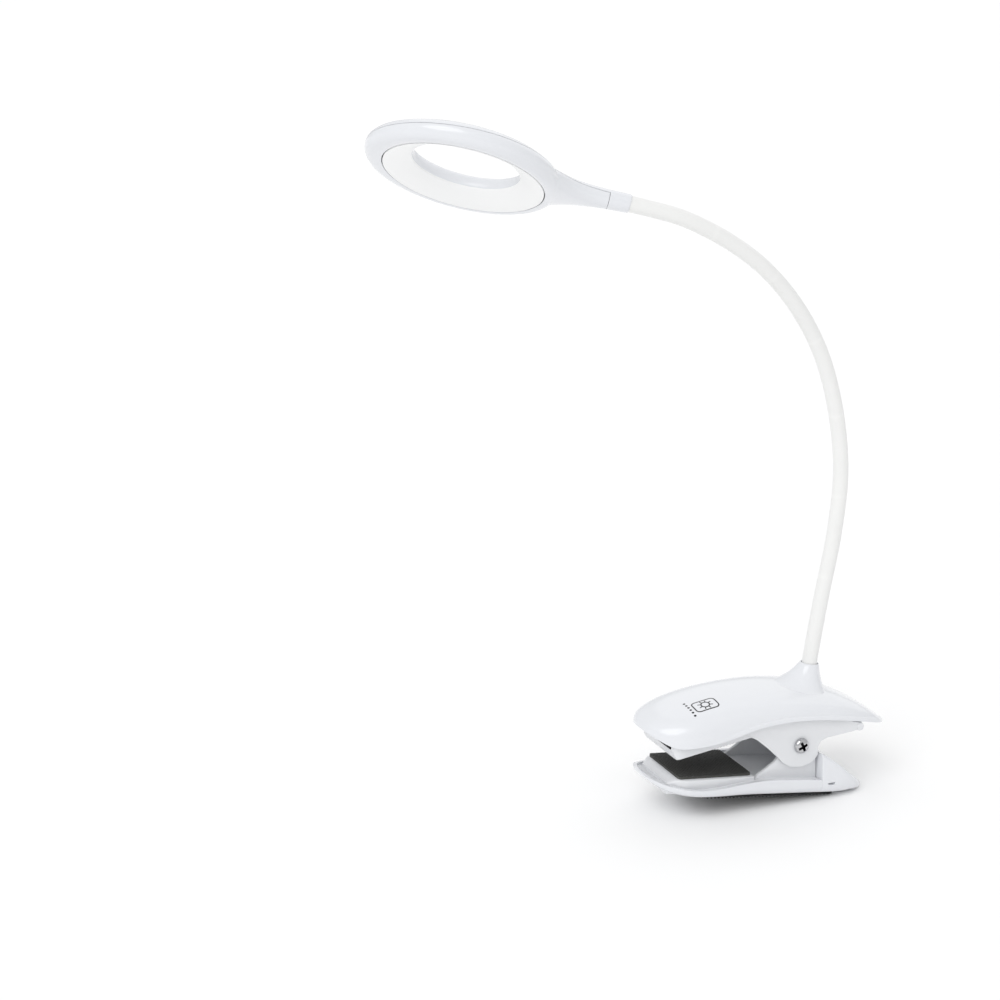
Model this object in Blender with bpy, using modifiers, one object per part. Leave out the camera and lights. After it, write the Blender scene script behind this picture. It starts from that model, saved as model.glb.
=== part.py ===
"""Clip-on reading lamp: a ring-shaped LED head on a flexible gooseneck, carried by a spring clip.

Metres, +Z up.  The origin is the middle of the upper jaw's pad face, where it rests on a table edge.
+X runs along the clip from its nose to its tail, and the lamp is clamped on a level table edge.
"""
import math

import bmesh
import bpy
import numpy as np
from mathutils import Matrix, Vector

MM = 0.001
GAP = 0.3  # clearance between touching pieces, in millimetres like every size below

# ---- Driving dimensions, in millimetres -------------------------------------------------------
UPPER_TILT = 8.3  # degrees that the upper jaw's pad leans, nose down
LOWER_TILT = 7.2  # degrees that the lower jaw leans, nose up
JAW_GAP_AT_NOSE = 8.8
WALL = 2.0
SHELL_NOSE_X = -30.0
SHELL_TAIL_X = 107.0
SHELL_HALF_WIDTH = 25.0
HULL_NOSE_X = -30.0
HULL_TAIL_X = 92.0
HULL_HALF_WIDTH = 23.5
PIVOT = Vector((50.0, 0.0, -3.6))
CHEEK_OUT_Y = 19.7  # outer face of the upper frame's cheeks
CHEEK_T = 2.0
INNER_CHEEK_Y = 17.2  # outer face of the lower frame's cheeks
UPPER_PAD_T = 2.5
LOWER_PAD_T = 1.6
LOWER_PAD_TILT = 5.7  # degrees
PAD_HALF_WIDTH = 17.0
FOOT_HALF_WIDTH = 18.0
FOOT_TOP = 0.15  # the foot pad's two faces below the hull's flat underside
FOOT_FACE = 1.0
PAD_NOSE_X = -16.5
PAD_REAR_X = 24.0
PIVOT_TUBE_R = 3.0
SCREW_HEAD_R = 4.0
NECK_R = 3.8
NECK_BORE_R = 2.9
CORE_R = 2.65
CORE_BORE_R = 1.6
LEAD_R = 1.25
NECK_BEND = 25.0  # degrees that each neck hinge turns each way
COLLAR_R = 4.7
RING_R = 44.2
RING_HOLE_R = 25.0
RING_DIFFUSER_R = 37.6
TIP_STRETCH = 0.066  # how much further the housing reaches away from the neck than a circle
HEAD_SPLIT_Z = 7.6  # height of the plane that parts the head's top cover from its base
HEAD_SPLIT_TILT = 2.3  # degrees that this plane rises towards the neck
HEAD_SLEEVE_X = 77.5
HEAD_SEAM_X = 66.8
HEAD_CENTRE = Vector((-112.1, 25.1, 279.2))
HEAD_TURN = (-19.6, 15.0, -25.5)  # degrees: heading, dip of the neck's side, roll about the neck
LED_COUNT = 20

# The neck's centre line, from inside the collar to the head's sleeve.
NECK_POINTS = [
    (63.4, 0, 18), (65.4, 0, 36), (70.2, 0, 66), (76.2, 0, 100), (78.2, 0, 132),
    (72.9, -0.1, 165), (61.8, -1.6, 193.7), (43.4, -3.9, 220.1), (20.3, -5.4, 241.1),
    (-10.9, -3.7, 258.7), (-38.3, 3.0, 267.0), (-51.3, 7.2, 269.9),
]
CORE_IN_HEAD = 14.0
# Distance of each neck hinge along that line, and the way it bends.
NECK_HINGES = [(38.0, "fore"), (80.0, "side"), (122.0, "fore"), (164.0, "fore"),
               (206.0, "side"), (248.0, "fore"), (284.0, "twist")]
SLEEVE_START = 4.0

slope_up = math.tan(math.radians(UPPER_TILT))
slope_down = math.tan(math.radians(LOWER_TILT))
pad_slope_down = math.tan(math.radians(LOWER_PAD_TILT))


# ---- Scene, collections and materials ---------------------------------------------------------
for old in list(bpy.data.objects):
    bpy.data.objects.remove(old, do_unlink=True)

lamp = bpy.data.collections.new("clip_on_reading_lamp")
cutters = bpy.data.collections.new("cutters")
for group in (lamp, cutters):
    bpy.context.scene.collection.children.link(group)
cutters.hide_render = True


def material(name, colour, roughness, metallic=0.0):
    made = bpy.data.materials.new(name)
    made.use_nodes = True
    shader = made.node_tree.nodes["Principled BSDF"]
    shader.inputs["Base Color"].default_value = (*colour, 1.0)
    shader.inputs["Roughness"].default_value = roughness
    shader.inputs["Metallic"].default_value = metallic
    return made


WHITE_GLOSS = material("white_gloss_plastic", (0.83, 0.84, 0.86), 0.22)
WHITE_MATT = material("white_matt_plastic", (0.80, 0.81, 0.82), 0.42)
OPAL = material("opal_diffuser", (0.95, 0.95, 0.94), 0.5)
SILICONE = material("white_silicone", (0.86, 0.86, 0.84), 0.45)
RUBBER = material("dark_rubber", (0.06, 0.06, 0.06), 0.85)
STEEL = material("zinc_plated_steel", (0.72, 0.73, 0.75), 0.25, 1.0)
BOARD = material("circuit_board", (0.85, 0.86, 0.84), 0.5)
COPPER = material("copper", (0.78, 0.45, 0.3), 0.35, 1.0)
CELL = material("cell_wrap", (0.35, 0.45, 0.6), 0.4)
LEAD = material("lead_insulation", (0.75, 0.1, 0.08), 0.5)


# ---- Shape helpers ----------------------------------------------------------------------------
def new_object(name, mesh, finish=None, is_cutter=False):
    made = bpy.data.objects.new(name, mesh)
    (cutters if is_cutter else lamp).objects.link(made)
    if is_cutter:
        made.hide_render = True
        made.display_type = "WIRE"
    if finish:
        mesh.materials.append(finish)
    return made


def finish_mesh(name, bm, smooth_angle=35.0):
    """Write a bmesh, which is in millimetres, to a mesh in metres."""
    bmesh.ops.recalc_face_normals(bm, faces=bm.faces)
    bmesh.ops.scale(bm, vec=(MM, MM, MM), verts=bm.verts)
    mesh = bpy.data.meshes.new(name)
    bm.to_mesh(mesh)
    bm.free()
    mesh.shade_smooth()
    mesh.set_sharp_from_angle(angle=math.radians(smooth_angle))
    return mesh


def loft(name, rings, finish=None, is_cutter=False, capped=True):
    """Skin a list of rings that hold equally many points.  Uncapped rings close on the first one."""
    bm = bmesh.new()
    rows = [[bm.verts.new(point) for point in ring] for ring in rings]
    count = len(rows[0])
    pairs = list(zip(rows, rows[1:]))
    if not capped:
        pairs.append((rows[-1], rows[0]))
    for low, high in pairs:
        for k in range(count):
            n = (k + 1) % count
            bm.faces.new((low[k], low[n], high[n], high[k]))
    if capped:
        bm.faces.new(rows[0])
        bm.faces.new(rows[-1])
    bmesh.ops.remove_doubles(bm, verts=bm.verts, dist=0.0001)
    return new_object(name, finish_mesh(name, bm), finish, is_cutter)


def prism(name, outline, y_low, y_high, finish=None, is_cutter=False, bevel=0.0):
    """Extrude an outline in the XZ plane from y_low to y_high."""
    bm = bmesh.new()
    face = bm.faces.new([bm.verts.new((x, y_low, z)) for x, z in outline])
    grown = bmesh.ops.extrude_face_region(bm, geom=[face])
    moved = [item for item in grown["geom"] if isinstance(item, bmesh.types.BMVert)]
    bmesh.ops.translate(bm, verts=moved, vec=(0, y_high - y_low, 0))
    made = new_object(name, finish_mesh(name, bm), finish, is_cutter)
    if bevel:
        add_bevel(made, bevel)
    return made


def box(name, low, high, finish=None, is_cutter=False, bevel=0.0, place=None):
    bm = bmesh.new()
    bmesh.ops.create_cube(bm, size=1.0)
    size = Vector(high) - Vector(low)
    bmesh.ops.scale(bm, vec=size, verts=bm.verts)
    bmesh.ops.translate(bm, vec=(Vector(high) + Vector(low)) / 2, verts=bm.verts)
    if place:
        bmesh.ops.transform(bm, matrix=place, verts=bm.verts)
    made = new_object(name, finish_mesh(name, bm), finish, is_cutter)
    if bevel:
        add_bevel(made, bevel)
    return made


def add_bevel(piece, width, segments=2):
    bevel = piece.modifiers.new("rounded_edges", "BEVEL")
    bevel.width = width * MM
    bevel.segments = segments
    bevel.limit_method = "ANGLE"
    bevel.angle_limit = math.radians(40)
    return bevel


def turned(name, profile, place, finish=None, is_cutter=False, steps=32):
    """Turn a closed profile of (radius, height) about the Z axis of place."""
    rings = []
    for k in range(steps):
        angle = math.tau * k / steps
        spin = Vector((math.cos(angle), math.sin(angle), 0.0))
        rings.append([place @ (spin * r + Vector((0, 0, h))) for r, h in profile])
    return loft(name, rings, finish, is_cutter, capped=False)


def rod(name, start, end, radius, finish=None, is_cutter=False, segments=20):
    start, end = Vector(start), Vector(end)
    bm = bmesh.new()
    bmesh.ops.create_cone(bm, cap_ends=True, segments=segments, radius1=radius, radius2=radius,
                          depth=(end - start).length)
    turn = Vector((0, 0, 1)).rotation_difference(end - start).to_matrix().to_4x4()
    bmesh.ops.transform(bm, matrix=Matrix.Translation((start + end) / 2) @ turn, verts=bm.verts)
    return new_object(name, finish_mesh(name, bm), finish, is_cutter)


def boolean(piece, other, operation="DIFFERENCE"):
    change = piece.modifiers.new(f"{operation.lower()}_{other.name}", "BOOLEAN")
    change.operation = operation
    change.object = other
    change.solver = "EXACT"


def smooth_curve(points):
    """A function through (x, y) points with continuous slope: a cubic Hermite curve."""
    xs = [p[0] for p in points]
    ys = [p[1] for p in points]
    last = len(xs) - 1
    slopes = []
    for i in range(last + 1):
        before, after = max(i - 1, 0), min(i + 1, last)
        slopes.append((ys[after] - ys[before]) / (xs[after] - xs[before]))

    def value(x):
        i = min(max(int(np.searchsorted(xs, x)) - 1, 0), last - 1)
        span = xs[i + 1] - xs[i]
        t = (x - xs[i]) / span
        return ((2 * t**3 - 3 * t**2 + 1) * ys[i] + (t**3 - 2 * t**2 + t) * span * slopes[i]
                + (3 * t**2 - 2 * t**3) * ys[i + 1] + (t**3 - t**2) * span * slopes[i + 1])

    return value


def power(value, exponent):
    return math.copysign(abs(value) ** exponent, value)


def spaced(start, end, count):
    """Stations from start to end that crowd at both rounded ends."""
    middle = (start + end) / 2
    half = (end - start) / 2
    return [middle - half * math.cos(math.pi * k / (count - 1)) for k in range(count)]


# ---- Upper jaw: shell -------------------------------------------------------------------------
shell_rim = smooth_curve([(-30, 10.4), (-20, 5.4), (-9, 5.5), (6, 7.1), (23, 10.8), (40, 11.8),
                          (56, 10.6), (72, 7.6), (88, 3.3), (107, -3.6)])
shell_crown = smooth_curve([(-30, 11.2), (-28, 14.4), (-20, 18.2), (-8, 21.2), (8, 23.7), (25, 24.4),
                            (42, 23.6), (60, 20.8), (75, 16.8), (90, 9.6), (107, -2.4)])
SHELL_POWER = 3.0


def rounded_plan(x, nose, tail, nose_span, tail_start, nose_power=2.5, tail_power=3.0):
    """Half-width, from 0 to 1, of a plan with a round nose and a tapered round tail."""
    near_nose = max(0.0, (nose + nose_span - x) / nose_span)
    near_tail = max(0.0, (x - tail_start) / (tail - tail_start))
    front = max(0.0, 1 - near_nose**nose_power) ** (1 / nose_power)
    return front * max(0.0, 1 - near_tail**tail_power) ** (1 / 2.2)


def shell_half_width(x):
    return SHELL_HALF_WIDTH * rounded_plan(x, SHELL_NOSE_X, SHELL_TAIL_X, 33.0, 30.0)


def arch(x, half_width, z_edge, z_top, exponent, count, skirt=0.0):
    """One cross-section: a rounded arch from edge to edge, closed below by a straight line."""
    ring = []
    for k in range(count):
        angle = math.pi * k / (count - 1)
        y = -half_width * power(math.cos(angle), 2 / exponent)
        z = z_edge + (z_top - z_edge) * power(math.sin(angle), 2 / exponent)
        ring.append(Vector((x, y, z)))
    if skirt:
        ring[0].z -= skirt
        ring[-1].z -= skirt
    return ring


def shell_rings(inset, count, stations, skirt=0.0):
    rings = []
    for x in stations:
        half = max(shell_half_width(x) - inset, 0.4)
        top = max(shell_crown(x) - inset, shell_rim(x) + 0.3)
        rings.append(arch(x, half, shell_rim(x), top, SHELL_POWER, count, skirt))
    return rings


outer_stations = spaced(SHELL_NOSE_X + 0.05, SHELL_TAIL_X - 0.05, 21)
upper_shell = loft("upper_shell", shell_rings(0.0, 15, outer_stations), WHITE_GLOSS)
inner_stations = spaced(SHELL_NOSE_X + WALL + 0.6, 88.0, 13)
shell_hollow = loft("cut_shell_hollow", shell_rings(WALL, 11, inner_stations, skirt=8.0), is_cutter=True)
boolean(upper_shell, shell_hollow)

NECK_BASE = Vector((64.9, 0.0, 32.0))
neck_lean = Matrix.Rotation(math.radians(6.5), 3, "Y")


def collar_ring(drop, height_share):
    """A ring of the flared collar: round at its top, long towards the nose at its foot."""
    ring = []
    for k in range(24):
        angle = math.tau * k / 24
        toward_nose = 0.5 - 0.5 * math.cos(angle)
        foot_r = 7.6 + 6.4 * toward_nose**1.5
        r = COLLAR_R + (foot_r - COLLAR_R) * height_share**2.4
        ring.append(NECK_BASE + neck_lean @ Vector((r * math.cos(angle), r * math.sin(angle), -drop)))
    return ring


collar = loft("cut_collar", [collar_ring(16.0 * k / 8, k / 8) for k in range(9)], is_cutter=True)
boolean(upper_shell, collar, "UNION")
neck_axis = neck_lean @ Vector((0, 0, 1))
collar_bore = rod("cut_collar_bore", NECK_BASE - 22 * neck_axis, NECK_BASE + 2 * neck_axis,
                  NECK_R + GAP, is_cutter=True, segments=24)
boolean(upper_shell, collar_bore)

# ---- Upper jaw: frame with its two cheeks -----------------------------------------------------
def slab_rings(stations, half_width, z_low, z_high):
    return [[Vector((x, -half_width(x), z_low(x))), Vector((x, half_width(x), z_low(x))),
             Vector((x, half_width(x), z_high(x))), Vector((x, -half_width(x), z_high(x)))]
            for x in stations]


def carrier_rings(half_width, nose, shoulder_x, low, high):
    """A pad carrier: a wedge that follows the jaw's nose.  nose is its slanted tip, as (x, low, high)."""
    sections = [nose]
    sections += [(x, low(x), high(x)) for x in (shoulder_x, -8.0, 0.0, 8.0, 24.6)]
    rings = []
    for x, bottom, top in sections:
        half = min(PAD_HALF_WIDTH + 1.6, half_width(x) - WALL - 1.4)
        rings.append([Vector((x, -half, bottom)), Vector((x, half, bottom)),
                      Vector((x, half, top)), Vector((x, -half, top))])
    return rings


upper_frame = loft("upper_frame", slab_rings(
    spaced(-25.0, 84.0, 15), lambda x: shell_half_width(x) - WALL - (1.4 if x < 70 else 2.6),
    lambda x: shell_rim(x) + 0.4, lambda x: shell_rim(x) + 2.0), WHITE_MATT)
upper_carrier = loft("cut_upper_carrier", carrier_rings(
    shell_half_width, (-20.4, 3.6, 8.0), -18.2, lambda x: slope_up * x + 0.4, lambda x: 9.54 + 0.0837 * x),
    is_cutter=True)
upper_pad_room = loft("cut_upper_pad_room", slab_rings(
    (PAD_NOSE_X - GAP, PAD_REAR_X + GAP), lambda x: PAD_HALF_WIDTH + GAP, lambda x: slope_up * x - 2.0,
    lambda x: slope_up * x + UPPER_PAD_T + GAP), is_cutter=True)
boolean(upper_carrier, upper_pad_room)
boolean(upper_frame, upper_carrier, "UNION")
upper_cheek_outline = [
    (16, 8.4), (20.0, 5.6), (25.0, 3.2), (31.0, -2.4), (37.0, -8.0), (40.0, -11.5), (44.5, -14.6),
    (51.0, -15.4), (57.0, -13.6), (60.4, -10.0), (60.2, -6.4), (61.2, -3.4), (64.5, -1.7),
    (72.0, -1.3), (79.0, -0.6), (84.8, 0.3), (86.2, 2.0), (86.0, 3.2), (80, 4.9), (76, 6.1),
    (72, 8.8), (56, 12.4),
    (40, 13.4), (24, 12.0)]
for side, tag in ((-1, "near"), (1, "far")):
    ends = sorted((side * CHEEK_OUT_Y, side * (CHEEK_OUT_Y - CHEEK_T)))
    cheek = prism(f"cut_upper_cheek_{tag}", upper_cheek_outline, *ends, is_cutter=True)
    boolean(upper_frame, cheek, "UNION")
rear_wall = box("cut_rear_wall", (83.6, -18.5, 0.8), (85.8, 18.5, 3.2), is_cutter=True)
socket_block = box("cut_socket_block", (81.0, -13.0, 0.9), (85.7, 13.0, 6.0), is_cutter=True)
boolean(upper_frame, rear_wall, "UNION")
boolean(upper_frame, socket_block, "UNION")
screw_holes = rod("cut_pivot_screw_hole", PIVOT - Vector((0, 25, 0)), PIVOT + Vector((0, 25, 0)),
                  1.75, is_cutter=True)
boolean(upper_frame, screw_holes)
socket_hole = box("cut_socket_hole", (80.0, -4.2, 2.0), (90.0, 4.2, 5.4), is_cutter=True)
boolean(upper_frame, socket_hole)

# ---- Upper jaw: pad ---------------------------------------------------------------------------
def pad_rings(z_face, z_back):
    stations = [PAD_NOSE_X + 0.0, PAD_NOSE_X + 1.2, PAD_NOSE_X + 4.0, PAD_REAR_X - 3.0, PAD_REAR_X]
    narrowing = [3.0, 1.2, 0.0, 0.0, 1.5]
    rings = []
    for x, pull in zip(stations, narrowing):
        half = PAD_HALF_WIDTH - pull
        low, high = sorted((z_face(x), z_back(x)))
        rings.append([Vector((x, -half, low)), Vector((x, half, low)),
                      Vector((x, half, high)), Vector((x, -half, high))])
    return rings


def upper_pad_face(x):
    return slope_up * x


def lower_pad_face(x):
    return slope_up * PAD_NOSE_X - JAW_GAP_AT_NOSE - pad_slope_down * (x - PAD_NOSE_X)


upper_pad = loft("upper_pad", pad_rings(upper_pad_face, lambda x: upper_pad_face(x) + UPPER_PAD_T), RUBBER)

# ---- Upper jaw: touch control, cell and power socket ------------------------------------------
touch_board = box("touch_board", (-10, -9, 16.4), (14, 9, 17.4), BOARD)
for x, y in ((-8, -5), (-6, 5), (4, 0)):
    part = box(f"cut_board_part_{x}_{y}", (x, y, 16.9), (x + 4, y + 3, 18.2), is_cutter=True)
    boolean(touch_board, part, "UNION")
touch_electrode = turned("touch_electrode", [(2.2, 19.0), (5.5, 19.0), (5.5, 19.4), (2.2, 19.4)],
                         Matrix.Translation((1.0, 0, 0)), COPPER, steps=24)
battery_cell = box("battery_cell", (-12, -13, 12.4), (22, 13, 16.0), CELL, bevel=1.0)
driver_board = box("driver_board", (64.0, -6, 12.2), (76.0, 6, 13.3), BOARD)
power_socket = box("power_socket", (79.6, -3.8, 2.4), (86.1, 3.8, 5.0), STEEL)
socket_mouth = box("cut_socket_mouth", (81.5, -3.1, 2.9), (87.0, 3.1, 4.5), is_cutter=True)
boolean(power_socket, socket_mouth)
socket_tongue = box("cut_socket_tongue", (81.0, -2.4, 3.5), (85.0, 2.4, 3.9), is_cutter=True)
boolean(power_socket, socket_tongue, "UNION")

neck_nut = turned("neck_nut", [(3.4, -17.6), (6.4, -17.6), (6.4, -13.4), (3.4, -13.4)],
                  Matrix.Translation(NECK_BASE) @ neck_lean.to_4x4(), STEEL, steps=6)
nut_room = rod("cut_nut_room", NECK_BASE - 40 * neck_axis, NECK_BASE - 13.1 * neck_axis, 6.8,
               is_cutter=True)
boolean(upper_shell, nut_room)

# ---- Pivot: tube, two screws and the torsion spring -------------------------------------------
ALONG_PIVOT = Matrix.Translation(PIVOT) @ Matrix.Rotation(math.radians(-90), 4, "X")
TUBE_END = CHEEK_OUT_Y - CHEEK_T - 0.2
pivot_tube = turned("pivot_tube", [(1.75, -TUBE_END), (PIVOT_TUBE_R, -TUBE_END),
                                   (PIVOT_TUBE_R, TUBE_END), (1.75, TUBE_END)],
                    ALONG_PIVOT, STEEL, steps=24)


def pan_head_screw(name, seat, direction, head_r, shank_r, shank_length, finish):
    """A cross-head screw whose head rests at seat; direction points out of the head."""
    turn = Vector((0, 0, 1)).rotation_difference(Vector(direction)).to_matrix().to_4x4()
    place = Matrix.Translation(Vector(seat)) @ turn
    head_h = 0.62 * head_r
    profile = [(0.0, -shank_length), (shank_r * 0.6, -shank_length), (shank_r, -shank_length + 0.8),
               (shank_r, 0.0), (head_r, 0.0), (head_r, head_h * 0.35), (head_r * 0.8, head_h * 0.8),
               (head_r * 0.45, head_h), (0.0, head_h)]
    screw = turned(name, profile, place, finish, steps=20)
    for index, arm in enumerate((Vector((0.62, 0.14, 0)), Vector((0.14, 0.62, 0)))):
        low, high = -arm * head_r, arm * head_r + Vector((0, 0, head_h))
        slot = box(f"cut_{name}_slot_{index}", low, high, is_cutter=True,
                   place=place @ Matrix.Translation((0, 0, 0.42 * head_h)))
        boolean(screw, slot)
    return screw


for side, tag in ((-1, "near"), (1, "far")):
    pan_head_screw(f"pivot_screw_{tag}", PIVOT + Vector((0, side * (CHEEK_OUT_Y + 0.15), 0)),
                   (0, side, 0), SCREW_HEAD_R, 1.5, 11.0, STEEL)

SPRING_R = 4.9
SPRING_WIRE_R = 0.7
SPRING_TURNS = 5
SPRING_PITCH = 1.75


def spring_points():
    """Centre line: upper leg, coil round the pivot tube, lower leg, all in millimetres."""
    half_width = SPRING_TURNS * SPRING_PITCH / 2
    start_angle = math.radians(90)
    end_angle = start_angle - math.tau * SPRING_TURNS - math.radians(180)
    points = [PIVOT + Vector((20.0, -half_width, 7.4)), PIVOT + Vector((10.0, -half_width, 6.3))]
    steps = 10 * SPRING_TURNS + 5
    for k in range(steps + 1):
        share = k / steps
        angle = start_angle + (end_angle - start_angle) * share
        points.append(PIVOT + Vector((SPRING_R * math.cos(angle), -half_width + 2 * half_width * share,
                                      SPRING_R * math.sin(angle))))
    points.append(PIVOT + Vector((7.5, half_width, -6.5)))
    points.append(PIVOT + Vector((18.0, half_width, -24.4)))
    return points


def wire(name, points, radius, finish):
    curve = bpy.data.curves.new(name, "CURVE")
    curve.dimensions = "3D"
    curve.bevel_depth = radius * MM
    curve.bevel_resolution = 1
    curve.use_fill_caps = True
    spline = curve.splines.new("POLY")
    spline.points.add(len(points) - 1)
    for target, point in zip(spline.points, points):
        target.co = (*(point * MM), 1.0)
    curve.materials.append(finish)
    made = bpy.data.objects.new(name, curve)
    lamp.objects.link(made)
    return made


wire("clamp_spring", spring_points(), SPRING_WIRE_R, STEEL)

# ---- Lower jaw: hull with its handle ----------------------------------------------------------
def foot_z(x):
    return -23.2 - slope_down * (x + 5.6)


hull_rim = smooth_curve([(-30, -12.6), (-20, -15.6), (-7, -17.9), (4, -18.4), (15, -17.9), (26, -17.9),
                         (37, -18.9), (50, -20.8), (64, -23.2), (78, -26.4), (92, -31.0)])
hull_keel = smooth_curve([(-30, -13.4), (-26, -17.0), (-17, -20.9), (-6, foot_z(-6)), (20, foot_z(20)),
                          (50, foot_z(50)), (74, foot_z(74)), (84, foot_z(84) + 0.9), (92, -33.2)])


def hull_half_width(x):
    return HULL_HALF_WIDTH * rounded_plan(x, HULL_NOSE_X, HULL_TAIL_X, 33.0, 52.0, tail_power=5.0)


def hull_rings(inset, count, stations, rise=0.0):
    rings = []
    for x in stations:
        half = max(hull_half_width(x) - inset, 0.5)
        keel = min(hull_keel(x) + inset, hull_rim(x) - 0.3)
        rings.append(arch(x, half, hull_rim(x), keel, 4.2, count, skirt=-rise))
    return rings


lower_hull = loft("lower_hull", hull_rings(0.0, 15, spaced(HULL_NOSE_X + 0.05, HULL_TAIL_X - 0.05, 18)),
                  WHITE_GLOSS)
hull_hollow = loft("cut_hull_hollow", hull_rings(WALL, 11, spaced(HULL_NOSE_X + 2.8, 86.0, 12), rise=6.0),
                   is_cutter=True)
handle_outline = [(61.6, -9.6), (67.0, -12.9), (73.0, -17.6), (79.2, -22.9), (85.4, -28.3), (90.6, -32.4),
                  (88.0, -34.0), (75.0, -32.4), (61.6, -31.0)]
handle_inside = [(56.0, -10.5), (63.0, -12.9), (66.5, -15.2), (72.0, -19.5), (78.0, -24.6), (83.0, -28.9),
                 (79.0, -31.0), (70.0, -30.4), (56.0, -28.4)]
handle = prism("cut_handle", handle_outline, -22.4, 22.4, is_cutter=True, bevel=1.5)
handle_plan = turned("cut_handle_plan", [(0.05, -60), (30.0, -60), (30.0, 20), (0.05, 20)],
                     Matrix.Translation((61.5, 0, 0)), is_cutter=True, steps=40)
boolean(handle, handle_plan, "INTERSECT")
boolean(lower_hull, handle, "UNION")
boolean(lower_hull, hull_hollow)
handle_hollow = prism("cut_handle_hollow", handle_inside, -20.4, 20.4, is_cutter=True)
boolean(lower_hull, handle_hollow)
HANDLE_RECESSES = ([(62.8, -19.8), (67.3, -23.6), (63.9, -23.4)],
                   [(64.2, -24.9), (68.9, -24.7), (68.3, -26.2), (65.2, -25.9)])
for index, outline in enumerate(HANDLE_RECESSES):
    recess = prism(f"cut_handle_recess_{index}", outline, -24.0, -21.4, is_cutter=True)
    boolean(lower_hull, recess)

foot_pad = prism("foot_pad", [(-4.0, foot_z(-4.0) - FOOT_TOP), (72.0, foot_z(72.0) - FOOT_TOP),
                              (71.0, foot_z(71.0) - FOOT_FACE), (-3.0, foot_z(-3.0) - FOOT_FACE)],
                 -FOOT_HALF_WIDTH, FOOT_HALF_WIDTH, RUBBER)

# ---- Lower jaw: frame with its two cheeks -----------------------------------------------------
lower_frame = loft("lower_frame", slab_rings(
    spaced(-21.5, 60.0, 14), lambda x: hull_half_width(x) - WALL - 1.5,
    lambda x: hull_rim(x) - 1.0, lambda x: hull_rim(x) + 0.8), WHITE_MATT)
lower_carrier = loft("cut_lower_carrier", carrier_rings(
    hull_half_width, (-20.4, -16.0, -14.4), -16.0, lambda x: -17.26 - 0.0665 * x,
    lambda x: lower_pad_face(x) - LOWER_PAD_T - GAP), is_cutter=True)
boolean(lower_frame, lower_carrier, "UNION")
lower_cheek_outline = [
    (26, -19.4), (28, -16.4), (32, -14.4), (37.5, -11.0), (40.8, -6.0), (42.4, 0.0), (46.0, 3.4),
    (50.0, 4.4), (54.4, 3.2), (57.6, -0.2), (58.8, -4.0), (59.0, -8.6), (60.5, -13.5), (61.0, -24.0),
    (40.0, -20.5)]
for side, tag in ((-1, "near"), (1, "far")):
    ends = sorted((side * INNER_CHEEK_Y, side * (INNER_CHEEK_Y - CHEEK_T)))
    cheek = prism(f"cut_lower_cheek_{tag}", lower_cheek_outline, *ends, is_cutter=True)
    boolean(lower_frame, cheek, "UNION")
tube_holes = rod("cut_tube_hole", PIVOT - Vector((0, 22, 0)), PIVOT + Vector((0, 22, 0)),
                 PIVOT_TUBE_R + 0.15, is_cutter=True, segments=32)
boolean(lower_frame, tube_holes)
lower_pad = loft("lower_pad", pad_rings(lower_pad_face, lambda x: lower_pad_face(x) - LOWER_PAD_T), RUBBER)

# ---- Gooseneck --------------------------------------------------------------------------------
def neck_samples(count=400):
    """Points along the neck's smooth centre line, with their distances from its start."""
    nodes = np.array(NECK_POINTS, float)
    knots = np.concatenate([[0.0], np.cumsum(np.linalg.norm(np.diff(nodes, axis=0), axis=1))])
    axes = [smooth_curve(list(zip(knots, nodes[:, axis]))) for axis in range(3)]
    points = np.array([[value(s) for value in axes] for s in np.linspace(0, knots[-1], count)])
    return points, np.concatenate([[0.0], np.cumsum(np.linalg.norm(np.diff(points, axis=0), axis=1))])


line_points, line_lengths = neck_samples()
NECK_LENGTH = float(line_lengths[-1])


def neck_point(s):
    return Vector([float(np.interp(s, line_lengths, line_points[:, axis])) for axis in range(3)])


def neck_direction(s):
    low, high = max(s - 1.0, 0.0), min(s + 1.0, NECK_LENGTH)
    return (neck_point(high) - neck_point(low)).normalized()


def neck_sides(s):
    """Two directions square to the line at a distance s on it."""
    along = neck_direction(s)
    across = Vector((0, 1, 0)).cross(along).normalized()
    return across, along.cross(across)


def neck_tube(name, start, end, outer, inner, relief_start, relief_end, finish, sides, spacing):
    """A tube, or a rod where inner is 0, whose ends fall back as shallow cones so that it can tilt."""
    stops = max(3, int(round((end - start) / spacing)) + 1)
    profile = []
    for radius, order in ((outer, 1), (inner, -1)):
        if not radius:
            continue
        first = start + radius * relief_start
        last = end - radius * relief_end
        stations = [first + (last - first) * k / (stops - 1) for k in range(stops)]
        profile += [(s, radius) for s in stations[::order]]
    rings = []
    for s, radius in profile:
        centre = neck_point(s)
        across, sideways = neck_sides(s)
        rings.append([centre + radius * (math.cos(a) * across + math.sin(a) * sideways)
                      for a in (math.tau * k / sides for k in range(sides))])
    return loft(name, rings, finish, capped=not inner)


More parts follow.
